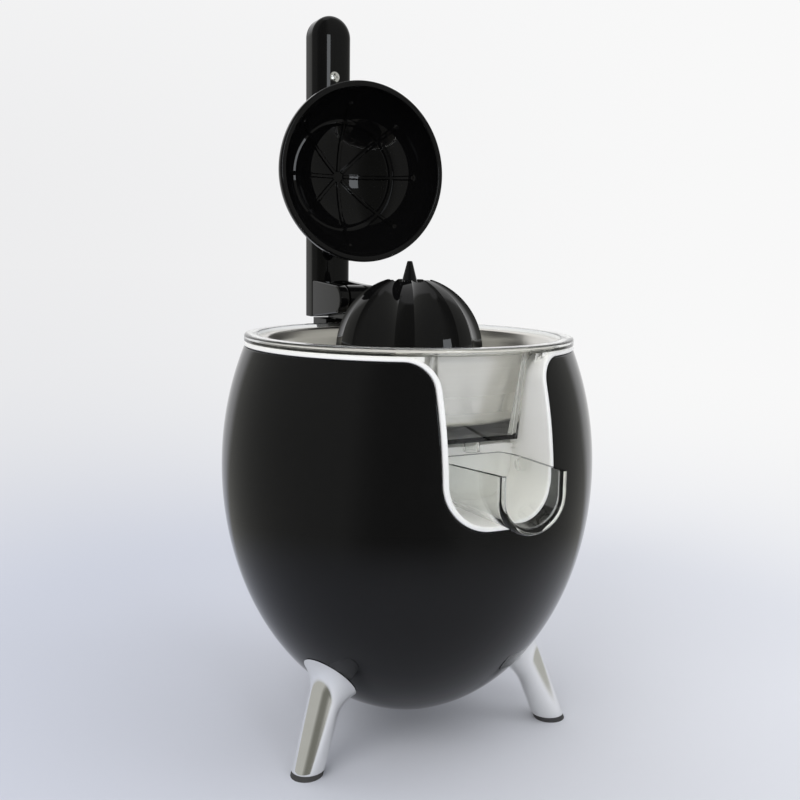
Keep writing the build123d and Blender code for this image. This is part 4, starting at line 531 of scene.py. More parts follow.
@dataclass
class Egg:
    """The ellipsoid that the shell, the liner's edge and the legs follow."""

    radius: float = 95.0
    half_height: float = 128.0
    middle: float = 138.0

    def radius_at(self, z: Array, grow: Any = 0.0) -> Array:
        """Radius at a height: half width times the root of one less the height's squared share.

        Args:
            z: heights.
            grow: how much both radii are grown.

        Returns:
            Radii.
        """
        share = (z - self.middle) / (self.half_height + grow)
        return (self.radius + grow) * np.sqrt(np.maximum(1.0 - share**2, 0.0))

    def reach(self, origin: Array, heading: Array, grow: float) -> Array:
        """How far along a line the grown egg is met first: the smaller root of its quadratic.

        Args:
            origin: starting points.
            heading: unit direction of the lines.
            grow: how much both radii are grown.

        Returns:
            Distances.
        """
        scale = 1.0 / np.array([self.radius + grow, self.radius + grow, self.half_height + grow])
        start = (origin - np.array([0.0, 0.0, self.middle])) * scale
        way = heading * scale
        a, b, c = (way * way).sum(-1), (start * way).sum(-1), (start * start).sum(-1) - 1.0
        return (-b - np.sqrt(np.maximum(b * b - a * c, 0.0))) / a


@dataclass
class Notch:
    """The top edge of the shell: the rim, which dips into a U at the front.

    Seen from the front the U has a half width, a foot and round corners, and flares at its mouth.
    An inset draws the edge in towards the middle of the U and lifts the rim by as much.
    """

    egg: Egg
    rim: float
    half: float = 28.5
    foot: float = 127.0
    corner: float = 22.0
    mouth: float = 11.0
    rim_count: int = 116
    arc_count: int = 18
    side_count: int = 26
    foot_count: int = 10

    def front(self, inset: float) -> Array:
        """Right half of the U in x and z, from the rim down to the middle of its foot.

        Args:
            inset: how far the edge is drawn in.

        Returns:
            One row of x and z a point: arc of the mouth, side, arc of the corner, foot.
        """
        half = self.half - inset
        mouth = (self.half + self.mouth, self.rim - self.mouth)
        corner = (self.half - self.corner, self.foot + self.corner)
        side = run((half, mouth[1]), (half, corner[1]), self.side_count)[1:-1]
        floor = run((corner[0], self.foot + inset), (0.0, self.foot + inset), self.foot_count)[1:]
        return join(
            bend(mouth, self.mouth + inset, 90, 180, self.arc_count),
            side,
            bend(corner, self.corner - inset, 0, -90, self.arc_count),
            floor,
        )

    def edge(self, inset: float, grow: float) -> Array:
        """The whole edge as it lies on the grown egg, closed, from the back round the right side.

        Args:
            inset: how far the edge is drawn in.
            grow: how much the egg is grown.

        Returns:
            One row of x, y and z a point.
        """
        u = self.front(inset)
        depth = -np.sqrt(np.maximum(self.egg.radius_at(u[:, 1], grow) ** 2 - u[:, 0] ** 2, 0.0))
        right = raise_flat(u, 1, depth)
        start = math.atan2(right[0, 1], right[0, 0])
        angle = np.linspace(math.pi / 2, start, self.rim_count)[:-1]
        rim = spin(np.array([(np.hypot(right[0, 0], right[0, 1]), u[0, 1])]), angle)[0]
        half = join(rim, right)
        mirror = half[1:-1][::-1] * np.array([-1.0, 1.0, 1.0])
        return join(half, mirror)


@dataclass
class Shell:
    """Gloss shell: the egg between its foot and the notched edge, with a wall and a rounded lip."""

    notch: Notch
    foot: float
    wall: float = 2.5
    lip: float = 0.7
    rows: int = 120
    inner_rows: int = 30

    def skin(self, grow: float, inset: float, share: Array) -> Array:
        """Part of the grown egg between the foot and the edge.

        Each column goes from a point of the foot ring to a point of the edge, straight in angle and
        height. Every point is then set on the egg: (R cos a, R sin a, z), with R from the height.

        Args:
            grow: how much the egg is grown.
            inset: where the edge lies.
            share: shares of the way up, one a row.

        Returns:
            Grid of points.
        """
        edge = self.notch.edge(inset, grow)
        step = np.linalg.norm(np.diff(edge, axis=0, append=edge[:1]), axis=1)
        along = join([0.0], np.cumsum(step)[:-1])
        foot_angle = math.pi / 2 - along * (2 * math.pi / step.sum())
        edge_angle = np.unwrap(np.arctan2(edge[:, 1], edge[:, 0]))
        up = share[:, None]
        angle = part_way(foot_angle, edge_angle, up)
        z = part_way(self.foot, edge[:, 2], up)
        radius = self.notch.egg.radius_at(z, grow)
        return as_points(radius * np.cos(angle), radius * np.sin(angle), z)

    def build(self) -> None:
        """Build the closed shell from its outside, its rounded lip and its inside."""
        outside = self.skin(0.0, -self.lip, np.linspace(0.0, 1.0, self.rows))
        bow = bend((-self.lip, -self.lip), self.lip, 0, 90, SOFT_ROWS)[1:]
        lip = np.stack([self.notch.edge(inset, grow) for grow, inset in bow])
        inside = self.skin(-self.wall, 0.0, np.linspace(1.0, 0.0, self.inner_rows))
        grid = Patch(join(outside, lip, inside), close_rows=True, close_columns=True)
        dress(make_piece("gloss_shell", [grid]), "base", "gloss_black", "outer_shell")


@dataclass
class Liner:
    """White liner: the edging of the notch, the recess behind it, and the tub for the bowl."""

    notch: Notch
    gap: float = 0.3
    edging: float = 2.3
    proud: float = 0.6
    deep: float = 4.0
    soft: float = 0.8
    behind: float = 0.04
    wall: float = 2.2
    back: float = -60.0
    tub_top: float = 77.6
    tub_foot: float = 72.0
    tub_floor: float = 158.2
    tub_ledge: float = 12.0
    tub_round: float = 2.0
    tub_lean: float = 0.4
    tub_columns: int = 150
    tube: float = 9.0
    tube_top: float = 176.0
    depth_rows: int = 12
    back_rows: int = 24
    back_columns: int = 15

    def edging_patch(self) -> Patch:
        """A rounded band carried along the edge: inset across the band, growth out of the egg.

        Returns:
            The closed band.
        """
        near, far, top, r = self.gap, self.gap + self.edging, self.proud, self.soft
        section = join(
            run((near, -self.deep), (near, top - r), 3)[:-1],
            bend((near + r, top - r), r, 180, 90, 5),
            bend((far - r, top - r), r, 90, 0, 5),
            run((far, top - r), (far, -self.deep), 3)[1:],
        )
        return Patch(np.stack([self.notch.edge(i, g) for i, g in section]), True, True)

    def recess_patch(self) -> Patch:
        """The U carried straight back from under the edging to the back wall, as a thick sheet.

        Returns:
            The sheet, open where the U ends at the rim.
        """
        rings = []
        near, far = self.gap + self.behind, self.gap + self.edging - self.behind
        for inset, ends in ((far, (0.0, 1.0)), (near, (1.0, 0.0))):
            right = self.notch.front(inset)
            u = join(right, right[:-1][::-1] * np.array([-1.0, 1.0]))
            radius = self.notch.egg.radius_at(u[:, 1], -self.soft)
            front = -np.sqrt(np.maximum(radius**2 - u[:, 0] ** 2, 0.0))
            for share in np.linspace(*ends, self.depth_rows):
                rings.append(raise_flat(u, 1, part_way(front, self.back + self.wall, share)))
        return Patch(np.stack(rings), close_rows=True)

    def back_patch(self) -> Patch:
        """Flat back wall: at each height as wide as the U there, closed into a plate.

        Returns:
            The plate.
        """
        inset = self.gap + self.edging / 2
        foot, half = self.notch.foot + inset, self.notch.half - inset
        radius, middle = self.notch.corner - inset, self.notch.foot + self.notch.corner
        drop = (middle - foot) * np.cos(np.linspace(0, math.pi / 2, self.back_rows))
        z = join(middle - drop, [self.tub_floor])
        low = np.clip(middle - z, 0.0, radius)
        width = half - radius + np.sqrt(radius**2 - low**2)
        x = width[:, None] * np.linspace(-1.0, 1.0, self.back_columns)
        face = as_points(x, np.full_like(x, self.back), z[:, None] + np.zeros_like(x))
        rear = face[:, ::-1] + np.array([0.0, self.wall, 0.0])
        return Patch(np.concatenate([face, rear], 1), close_columns=True)

    def tub_patches(self) -> list[Patch]:
        """Tub turned about the axis, open at the front where the recess cuts it, and its tube.

        Returns:
            The tub's wall, and its round floor with the tube.
        """
        top = self.notch.rim + self.gap + self.edging - self.behind
        rim = self.notch.egg.radius_at(self.notch.rim) - self.deep / 2
        floor, under, r = self.tub_floor, self.tub_floor - self.wall, self.tub_round
        foot, ledge = self.tub_foot, self.tub_foot - self.tub_ledge
        section = join(
            run((ledge, floor), (foot - r, floor), 3),
            bend((foot - r, floor + r), r, -90, 0, SOFT_ROWS),
            run((foot + self.tub_lean, floor + 2 * r), (self.tub_top, top), 8),
            run((rim, top), (rim, top - self.edging), 2),
            run((self.tub_top + self.wall, top - self.edging), (foot + self.wall, floor), 4),
            run((foot, under), (ledge, under), 3),
        )
        open_half = math.asin((self.notch.half - self.gap - self.edging / 2) / foot)
        angles = np.linspace(-math.pi / 2 + open_half, 1.5 * math.pi - open_half, self.tub_columns)
        bore, tube, top = self.tube, self.tube + self.wall, self.tube_top
        base = [(bore, under), (ledge, under), (ledge, floor)]
        inner = np.array([*base, (tube, floor), (tube, top), (bore, top)])
        tub = Patch(spin(section, angles), close_rows=True)
        return [tub, Patch(spin(inner, turn(ROUND)), True, True)]

    def build(self) -> None:
        """Build the edging and the recess as one piece and the tub as another."""
        patches = [self.edging_patch(), self.recess_patch(), self.back_patch()]
        dress(make_piece("recess_liner", patches), "base", "white_plastic", "inner_liner")
        dress(make_piece("tub_liner", self.tub_patches()), "base", "white_plastic")


@dataclass
class Bowl:
    """Clear juice bowl: a tapered pan under a flat ring, with a box-shaped window and an outlet."""

    seat: float
    top: float
    ring: float
    wall: float = 2.0
    pan_top: float = 74.0
    pan_foot: float = 66.0
    floor: float = 162.0
    tube: float = 12.0
    tube_top: float = 179.0
    step: float = 77.0
    step_deep: float = 2.6
    round_edge: float = 1.2
    window_top: tuple[float, float] = (25.0, 73.0)
    window_foot: tuple[float, float] = (22.5, 70.0)
    corner: float = 1.6
    outlet: tuple[float, float] = (-65.0, 4.0)
    outlet_wall: float = 1.2
    outlet_foot: float = 157.0
    tube_share: float = 0.35
    lift: float = 0.06
    back_columns: int = 190
    face_columns: int = 25
    side_columns: int = 6
    wall_rows: int = 14
    outlet_columns: int = 40

    def outline(self, radius: float, half: float, front: float) -> Array:
        """A circle joined with the window's box, as one closed line seen from above.

        Behind the box the line is the circle. Inside its width the line lies at the further of the
        circle and the box's front, whose corners are rounded.

        Args:
            radius: the circle's radius.
            half: half width of the box.
            front: how far in front of the axis the box ends.

        Returns:
            One row of x and y a point.
        """
        lean = math.asin(half / radius)
        start, end = math.degrees(lean) - 90, 270 - math.degrees(lean)
        back = bend((0.0, 0.0), radius, start, end, self.back_columns)
        r = self.corner
        bow = bend((half - r, 0.0), r, 0, 90)
        flat = np.linspace(-half + r, half - r, self.face_columns)[1:-1]
        x = join(-bow[:, 0], flat, bow[::-1, 0])
        nose = join(bow[:, 1], np.full_like(flat, r), bow[::-1, 1]) - r + front
        far = np.maximum(nose, np.sqrt(np.maximum(radius**2 - x**2, 0.0)))
        face = as_points(x, -far)
        left = run(back[-1], face[0], self.side_columns)[1:-1]
        right = run(face[-1], back[0], self.side_columns)[1:-1]
        return join(back, left, face, right)

    def level(self, radius: float, z: float, half: float, front: float) -> Array:
        """The outline at one height."""
        return raise_flat(self.outline(radius, half, front), 2, z)

    def walls(self, inward: float, low: float, high: float) -> list[Array]:
        """Levels of the pan's wall from its foot to its top, straight between the two.

        Args:
            inward: how far the wall lies inside the outer face.
            low: lowest height.
            high: highest height.

        Returns:
            Levels from the lowest up.
        """
        foot = (self.pan_foot + self.wall - inward, low, *np.subtract(self.window_foot, inward))
        top = (self.pan_top + self.wall - inward, high, *np.subtract(self.window_top, inward))
        return [self.level(*sizes) for sizes in run(foot, top, self.wall_rows)]

    def circle(self, radius: float, z: float) -> Array:
        """A round level, with the outline's own spacing."""
        return self.level(radius, z, min(self.window_top[0], radius * self.tube_share), 0.0)

    def build(self) -> None:
        """Build the bowl as one closed surface, and its outlet."""
        shelf, r, under = self.top - self.step_deep, self.round_edge, self.floor + self.wall
        edge = bend((self.ring - r, self.top - r), r, 0, 90)
        step = bend((self.step + r / 2, self.top - r / 2), r / 2, 90, 180, 5)
        bore, tube = self.tube, self.tube + self.wall
        levels = [self.circle(bore, self.floor), *self.walls(0.0, self.floor, self.seat)]
        rings = [(self.ring, self.seat), *edge, *step, (self.step, shelf)]
        levels += [self.circle(radius, z) for radius, z in rings]
        levels += self.walls(self.wall, under, shelf)[::-1]
        rings = [(tube, under), (tube, self.tube_top), (bore, self.tube_top)]
        levels += [self.circle(radius, z) for radius, z in rings]
        bowl = Patch(np.stack(levels), close_rows=True, close_columns=True)
        y, radius = self.outlet
        bore, top, foot = radius - self.outlet_wall, self.floor - WELD / MM, self.outlet_foot
        rings = np.array([(bore, top), (radius, top), (radius, foot), (bore, foot)])
        nozzle = spin(rings, turn(self.outlet_columns)) + np.array([0.0, y, 0.0])
        piece = make_piece("clear_bowl", [bowl, Patch(nozzle, True, True)], sharp=28.0)
        dress(piece, "base", "clear_plastic", "juice_bowl")


@dataclass
class Strainer:
    """Steel basket: a turned sheet with a rolled rim, a collar and slots in its floor."""

    shelf: float
    rim: float
    sheet: float = 0.8
    top: float = 71.5
    foot: float = 63.0
    floor: float = 168.0
    collar: float = 15.0
    collar_top: float = 179.5
    crease: float = 3.0
    slots: int = 24
    slot_width: float = 1.6
    slot_ring: float = 52.0
    slot_half: float = 7.0
    wall_rows: int = 10
    slot_rows: int = 5
    slot_columns: int = 2
    gap_columns: int = 5
    collar_edge: float = 1.0
    collar_round: float = 3.0
    knee: float = 4.0
    crease_in: float = 2.4
    wall_in: float = 1.0
    bow: float = 1.2
    rim_round: float = 2.0
    rim_edge: float = 0.6

    def angles(self) -> Array:
        """Angles of the columns: two cells across each slot and five between it and the next.

        Returns:
            Angles in radians.
        """
        pitch = 2 * math.pi / self.slots
        half = self.slot_width / 2 / self.slot_ring
        gap = np.linspace(half, pitch - half, self.gap_columns + 1)[:-1]
        one = join(np.linspace(-half, half, self.slot_columns + 1)[:-1], gap)
        return (np.arange(self.slots)[:, None] * pitch + one).ravel()

    def profile(self) -> tuple[Array, int]:
        """The sheet's upper face, from the collar down, along the floor and up to the rim.

        Returns:
            One row of radius and height a point, and the row at which the slots start.
        """
        slope = math.degrees(math.atan2(self.shelf - self.floor, self.top - self.foot))
        skin, r, rim = self.collar + self.sheet, self.collar_round, self.rim_round
        floor, shelf = self.floor + self.sheet, self.shelf + self.sheet
        inside, wall = self.foot - self.sheet, self.top - self.sheet
        near, far = self.slot_ring - self.slot_half, self.slot_ring + self.slot_half
        wall_low = inside + self.wall_in, floor + self.knee
        wall_high = wall - self.bow, self.shelf - 2 * self.bow
        parts = [
            np.array([(self.collar, self.collar_top), (skin, self.collar_top)]),
            run((skin, self.collar_top - self.collar_edge), (skin, self.floor + self.knee), 3),
            bend((skin + r, floor + r), r, 180, 270, SOFT_ROWS),
            run((near, floor), (far, floor), self.slot_rows + 1),
            bend((inside - self.crease_in, floor + self.crease), self.crease, -90, slope - 90),
            run(wall_low, wall_high, self.wall_rows),
            bend((self.top + self.bow, shelf - rim), rim, slope + 90, 90, SOFT_ROWS),
            np.array([(self.rim - self.rim_edge, shelf), (self.rim, self.shelf + self.sheet / 2)]),
        ]
        return np.concatenate(parts), sum(len(part) for part in parts[:3])

    def build(self) -> None:
        """Build the two faces of the sheet, leave out the slots' cells and wall their sides."""
        upper, first = self.profile()
        step = np.gradient(upper, axis=0)
        normal = as_points(step[:, 1], -step[:, 0]) / np.linalg.norm(step, axis=1)[:, None]
        lower = upper + normal * self.sheet
        lower[:2, 1] = upper[:2, 1]
        angles, last = self.angles(), first + self.slot_rows
        pitch = self.slot_columns + self.gap_columns
        rows = np.arange(len(upper) - 1)
        columns = (np.arange(len(angles)) % pitch < self.slot_columns)[None, :]
        keep = ~(((rows >= first) & (rows < last))[:, None] & columns)
        top, under = spin(upper, angles), spin(lower, angles)
        patches = [Patch(face, close_columns=True, keep=keep) for face in (top, under)]
        for row, cells in ((0, None), (len(upper) - 1, None), (first, columns), (last, columns)):
            patches.append(Patch(np.stack([top[row], under[row]]), close_columns=True, keep=cells))
        for column in (0, self.slot_columns):
            sides = np.arange(self.slots) * pitch + column
            strip = np.stack([top[first:last + 1, sides], under[first:last + 1, sides]], 0)
            patches += [Patch(strip[:, :, k]) for k in range(self.slots)]
        piece = make_piece("steel_strainer", patches, sharp=40.0)
        dress(piece, "base", "stainless", "strainer_basket")


@dataclass
class Reamer:
    """Ribbed reamer: a dome with ribs, hollowed panels between them, a dished crown and a spike."""

    foot: float
    tip: float
    middle: float = 197.0
    radius: float = 38.0
    ribs: int = 7
    rib_angle: float = 15.0
    start: float = 240.0
    panel: float = 0.905
    crown_panel: float = 0.74
    top_angle: float = 76.0
    crown: float = 11.0
    crown_deep: float = 1.9
    spike: float = 4.0
    spike_tip: float = 1.4
    nose: float = 0.6
    nose_end: float = 8.0
    wall: float = 3.0
    hollow_start: float = 10.0
    rib_columns: int = 28
    panel_columns: int = 84
    soft_rows: int = 5
    spike_rows: int = 12
    dome_rows: int = 64
    skirt_rows: int = 9
    hollow_rows: int = 8

    def reach(self, off: Array, share: float) -> Array:
        """Radius as a share of the ribs' radius at an angle away from the nearest rib.

        It is one on a rib. Between two ribs it is the arc through both edges and the panel's
        middle: where a line from the axis first meets the circle about the arc's centre, which
        lies beyond the panel, or leaves it, where the panel bulges and the centre lies inside.

        Args:
            off: angles from the middle of the nearest rib, in radians.
            share: the radius in the middle of a panel.

        Returns:
            Shares of the radius.
        """
        half, rib = math.pi / self.ribs, math.radians(self.rib_angle / 2)
        ahead, aside = math.cos(half - rib), math.sin(half - rib)
        bow = ((ahead - share) ** 2 + aside**2) / (2 * (ahead - share) + TINY)
        centre = share + bow
        away = half - off
        root = np.sqrt(np.maximum(bow**2 - (centre * np.sin(away)) ** 2, 0.0))
        hollow = centre * np.cos(away) - math.copysign(1.0, bow) * root
        return np.where(off <= rib, 1.0, hollow)

    def build(self) -> None:
        """Build the reamer: the spike and the crown, the dome, the skirt and the hollow under it.

        A point of the dome is (r cos a, r sin a, z), where r is the ball's radius at that height
        times the outline's share at that angle; the panels deepen with the square of the way up.
        """
        pitch, rib = 2 * math.pi / self.ribs, math.radians(self.rib_angle / 2)
        flat = np.linspace(-rib, rib, self.rib_columns)
        panel = np.linspace(rib, pitch - rib, self.panel_columns + 2)[1:-1]
        one = join(flat, panel)
        angles = (math.radians(self.start) + np.arange(self.ribs)[:, None] * pitch + one).ravel()
        off = np.tile(np.minimum(np.abs(one), pitch - one), self.ribs)
        even, soft = np.ones_like(angles), self.nose
        crown_z = self.middle + math.sqrt(self.radius**2 - self.crown**2) - self.crown_deep
        tip = self.spike_tip - soft, self.tip - soft
        nose = bend(tip, soft, 90, self.nose_end, self.soft_rows)
        spike = run(nose[-1], (self.spike, crown_z + soft), self.spike_rows)[1:]
        root = bend((self.spike + soft, crown_z + soft), soft, 180, 270, self.soft_rows)[1:]
        dish = run(root[-1], (self.crown - soft, crown_z), self.soft_rows)[1:]
        crown = join([(0.0, self.tip)], nose, spike, root, dish)
        rows = [(r * even, z * even) for r, z in crown]
        for angle in np.linspace(self.top_angle, 0.0, self.dome_rows):
            share = self.panel + (self.crown_panel - self.panel) * (angle / self.top_angle) ** 2
            ball = self.radius * math.cos(math.radians(angle))
            z = self.middle + self.radius * math.sin(math.radians(angle))
            outline = ball * self.reach(off, share)
            level = np.where(outline > self.crown, z, np.minimum(z, crown_z))
            rows.append((np.maximum(outline, self.crown), level))
        skirt = self.radius * self.reach(off, self.panel)
        levels = np.linspace(self.middle, self.foot, self.skirt_rows)[1:]
        rows += [(skirt, z * even) for z in levels]
        inside = self.radius * self.panel - self.wall
        dome = (0.0, self.middle), inside - self.wall, self.hollow_start, 90, self.hollow_rows
        hollow = join([(inside, self.foot), (inside, self.middle)], bend(*dome))
        rows += [(r * even, z * even) for r, z in hollow]
        radius = np.stack([r for r, _ in rows])
        height = np.stack([z for _, z in rows])
        grid = as_points(radius * np.cos(angles), radius * np.sin(angles), height)
        piece = make_piece("ribbed_reamer", [Patch(grid, close_columns=True)], sharp=30.0)
        dress(piece, "reamer", "gloss_black", "reamer_cone")


@dataclass
class Spout:
    """Clear spout: a round cup that runs out into an open trough with a rolled lip."""

    pivot: Array
    lip: float
    radius: float = 20.5
    wall: float = 2.0
    back: float = -62.52
    ear: float = 4.0
    lip_half: float = 16.0
    lip_foot: float = 131.2
    lip_top: float = 157.0
    bead: float = 1.7
    trunnion: float = 3.0
    trunnion_end: float = 28.0
    sunk: float = 0.2
    columns: int = 56
    side_rows: int = 9
    back_rows: int = 16
    trough_rows: int = 34
    bead_rows: int = 25
    pin_columns: int = 32

    def section(self, y: float, inward: float) -> Array:
        """The U at one depth: two upright sides on a half circle.

        Behind the pivot the half circle is a slice of the ball, and in front of it the circle's
        radius and middle go straight to those of the lip.

        Args:
            y: depth.
            inward: how far the line lies inside the outer face.

        Returns:
            One row of x, y and z a point, from the left side's top to the right side's.
        """
        end = self.lip + self.bead
        share = np.clip((self.pivot[1] - y) / (self.pivot[1] - end), 0.0, 1.0)
        behind = max(y - self.pivot[1], 0.0)
        ball = math.sqrt(max((self.radius - inward) ** 2 - behind**2, self.sunk**2))
        radius = part_way(ball, self.lip_half - inward, share)
        middle = part_way(self.pivot[2], self.lip_foot + self.lip_half, share)
        top = part_way(self.pivot[2] + self.ear, self.lip_top, share)
        rise = run((-radius, top), (-radius, middle), self.side_rows)[:-1]
        bowl = bend((0.0, middle), radius, 180, 360, self.columns)
        flat = join(rise, bowl, rise[::-1] * np.array([-1.0, 1.0]))
        return raise_flat(flat, 1, y)

    def build(self) -> None:
        """Build the outside from the back to the lip, the bead round it, and the inside back again.

        The bead is a circle about the middle of the wall, from where it leaves the outer face to
        where it meets the inner one.
        """
        half, centre, pivot = self.wall / 2, self.lip + self.bead, self.pivot[1]
        lean = math.degrees(math.asin(half / self.bead))
        neck = centre + self.bead * math.cos(math.radians(lean))
        cup = np.linspace(self.back, pivot, self.back_rows)[:-1]
        depth = join(cup, np.linspace(pivot, neck, self.trough_rows)[:-1])
        bead = bend((half, centre), self.bead, 90 + lean, 450 - lean, self.bead_rows)
        outer = [self.section(y, 0.0) for y in depth]
        round_lip = [self.section(y, inward) for inward, y in bead]
        inner = [self.section(y, self.wall) for y in np.minimum(depth, self.back - self.wall)]
        rows = np.stack([*outer, *round_lip, *inner[::-1]])
        ends = (outer[0], inner[0])
        shut = [gather((0.0, *row[0, 1:]), row) for row in ends]
        patches = [Patch(np.stack([shut[0], *rows, shut[1]]))]
        middle = (len(rows) + 1) // 2
        for side in (0, -1):
            patches.append(Patch(np.stack([rows[:middle, side], rows[::-1][:middle, side]], 1)))
        rear = [np.stack([row[0], point[0], row[-1]]) for row, point in zip(ends, shut)]
        patches.append(Patch(np.stack(rear)))
        start, end, r = self.radius - self.sunk, self.trunnion_end, self.trunnion
        profile = np.array([(0.0, start), (r, start), (r, end), (0.0, end)])
        pin = spin(profile, turn(self.pin_columns))[..., [2, 0, 1]]
        for side in (-1.0, 1.0):
            across = pin * np.array([side, 1.0, 1.0]) + np.array([0.0, *self.pivot[1:]])
            patches.append(Patch(across, close_columns=True))
        dress(make_piece("clear_spout", patches, sharp=40.0), "spout", "clear_plastic", "spout")


@dataclass
class Leg:
    """Chrome leg: a sloping round bar that flares into a saddle against the egg."""

    egg: Egg
    name: str
    angle: float
    pad: float
    floor_radius: float = 79.012
    egg_radius: float = 63.012
    egg_height: float = 40.0
    bar: float = 8.0
    saddle: float = 14.0
    flare: float = 13.0
    soft: float = 0.6
    soft_start: float = 0.4
    soft_rows: int = 4
    gap: float = 0.3
    seat_share: float = 0.6
    rows: int = 60

    def radius(self, way: Array, end: Array) -> Array:
        """Radius of the leg along its slope.

        It is the bar's as far as the flare. From there it is an arc that starts along the bar and
        reaches the saddle's radius at the egg: the arc's radius less the root of its square less
        the squared way into the flare.

        Args:
            way: distances along the slope.
            end: distance at which the egg is met.

        Returns:
            Radii.
        """
        grow = self.saddle - self.bar
        arc = (grow**2 + self.flare**2) / (2 * grow)
        into = np.clip(way - end + self.flare, 0.0, self.flare)
        return self.bar + arc - np.sqrt(arc**2 - into**2)

    def build(self) -> None:
        """Build the leg: a point is its foot, a way along its slope and a radius across it."""
        heading = math.radians(self.angle)
        out = np.array([math.cos(heading), math.sin(heading), 0.0])
        slope = np.array([0.0, 0.0, self.egg_height]) - out * (self.floor_radius - self.egg_radius)
        slope = slope / np.linalg.norm(slope)
        side = np.cross(out, [0.0, 0.0, 1.0])
        front = np.cross(slope, side)
        phi = turn(ROUND)
        across = np.cos(phi)[:, None] * side + np.sin(phi)[:, None] * front
        even = np.ones_like(phi)

        def around(radius: Array) -> Array:
            """Points at these radii about the foot of the slope, one an angle."""
            return out * self.floor_radius + across * radius[:, None]

        def on_egg(radius: Array) -> Array:
            """How far along the slope the egg is met at these radii."""
            return self.egg.reach(around(radius), slope, self.gap)

        def cut(radius: Array) -> Array:
            """How far along the slope the pad's upper face is met at these radii."""
            return (self.pad - around(radius)[:, 2]) / slope[2]

        def ring(radius: Array, way: Array) -> Array:
            """Points at these radii and ways, one an angle."""
            return around(radius) + way[:, None] * slope

        top = even * self.saddle
        end = on_egg(top)
        foot = even * (self.bar - self.soft)
        low = cut(even * self.bar) + self.soft
        rows = [ring(0 * even, cut(0 * even)), ring(foot, cut(foot))]
        for lean in np.linspace(self.soft_start, math.pi / 2, self.soft_rows):
            rows.append(ring(foot + self.soft * math.sin(lean), low - self.soft * math.cos(lean)))
        for share in np.linspace(0.0, 1.0, self.rows)[1:]:
            way = part_way(low, end, share)
            rows.append(ring(self.radius(way, end), way))
        rows += [ring(top * share, on_egg(top * share)) for share in (self.seat_share, 0.0)]
        bar = Patch(np.stack(rows), close_columns=True)
        dress(make_piece(f"chrome_{self.name}", [bar], sharp=40.0), "base", "chrome", self.name)


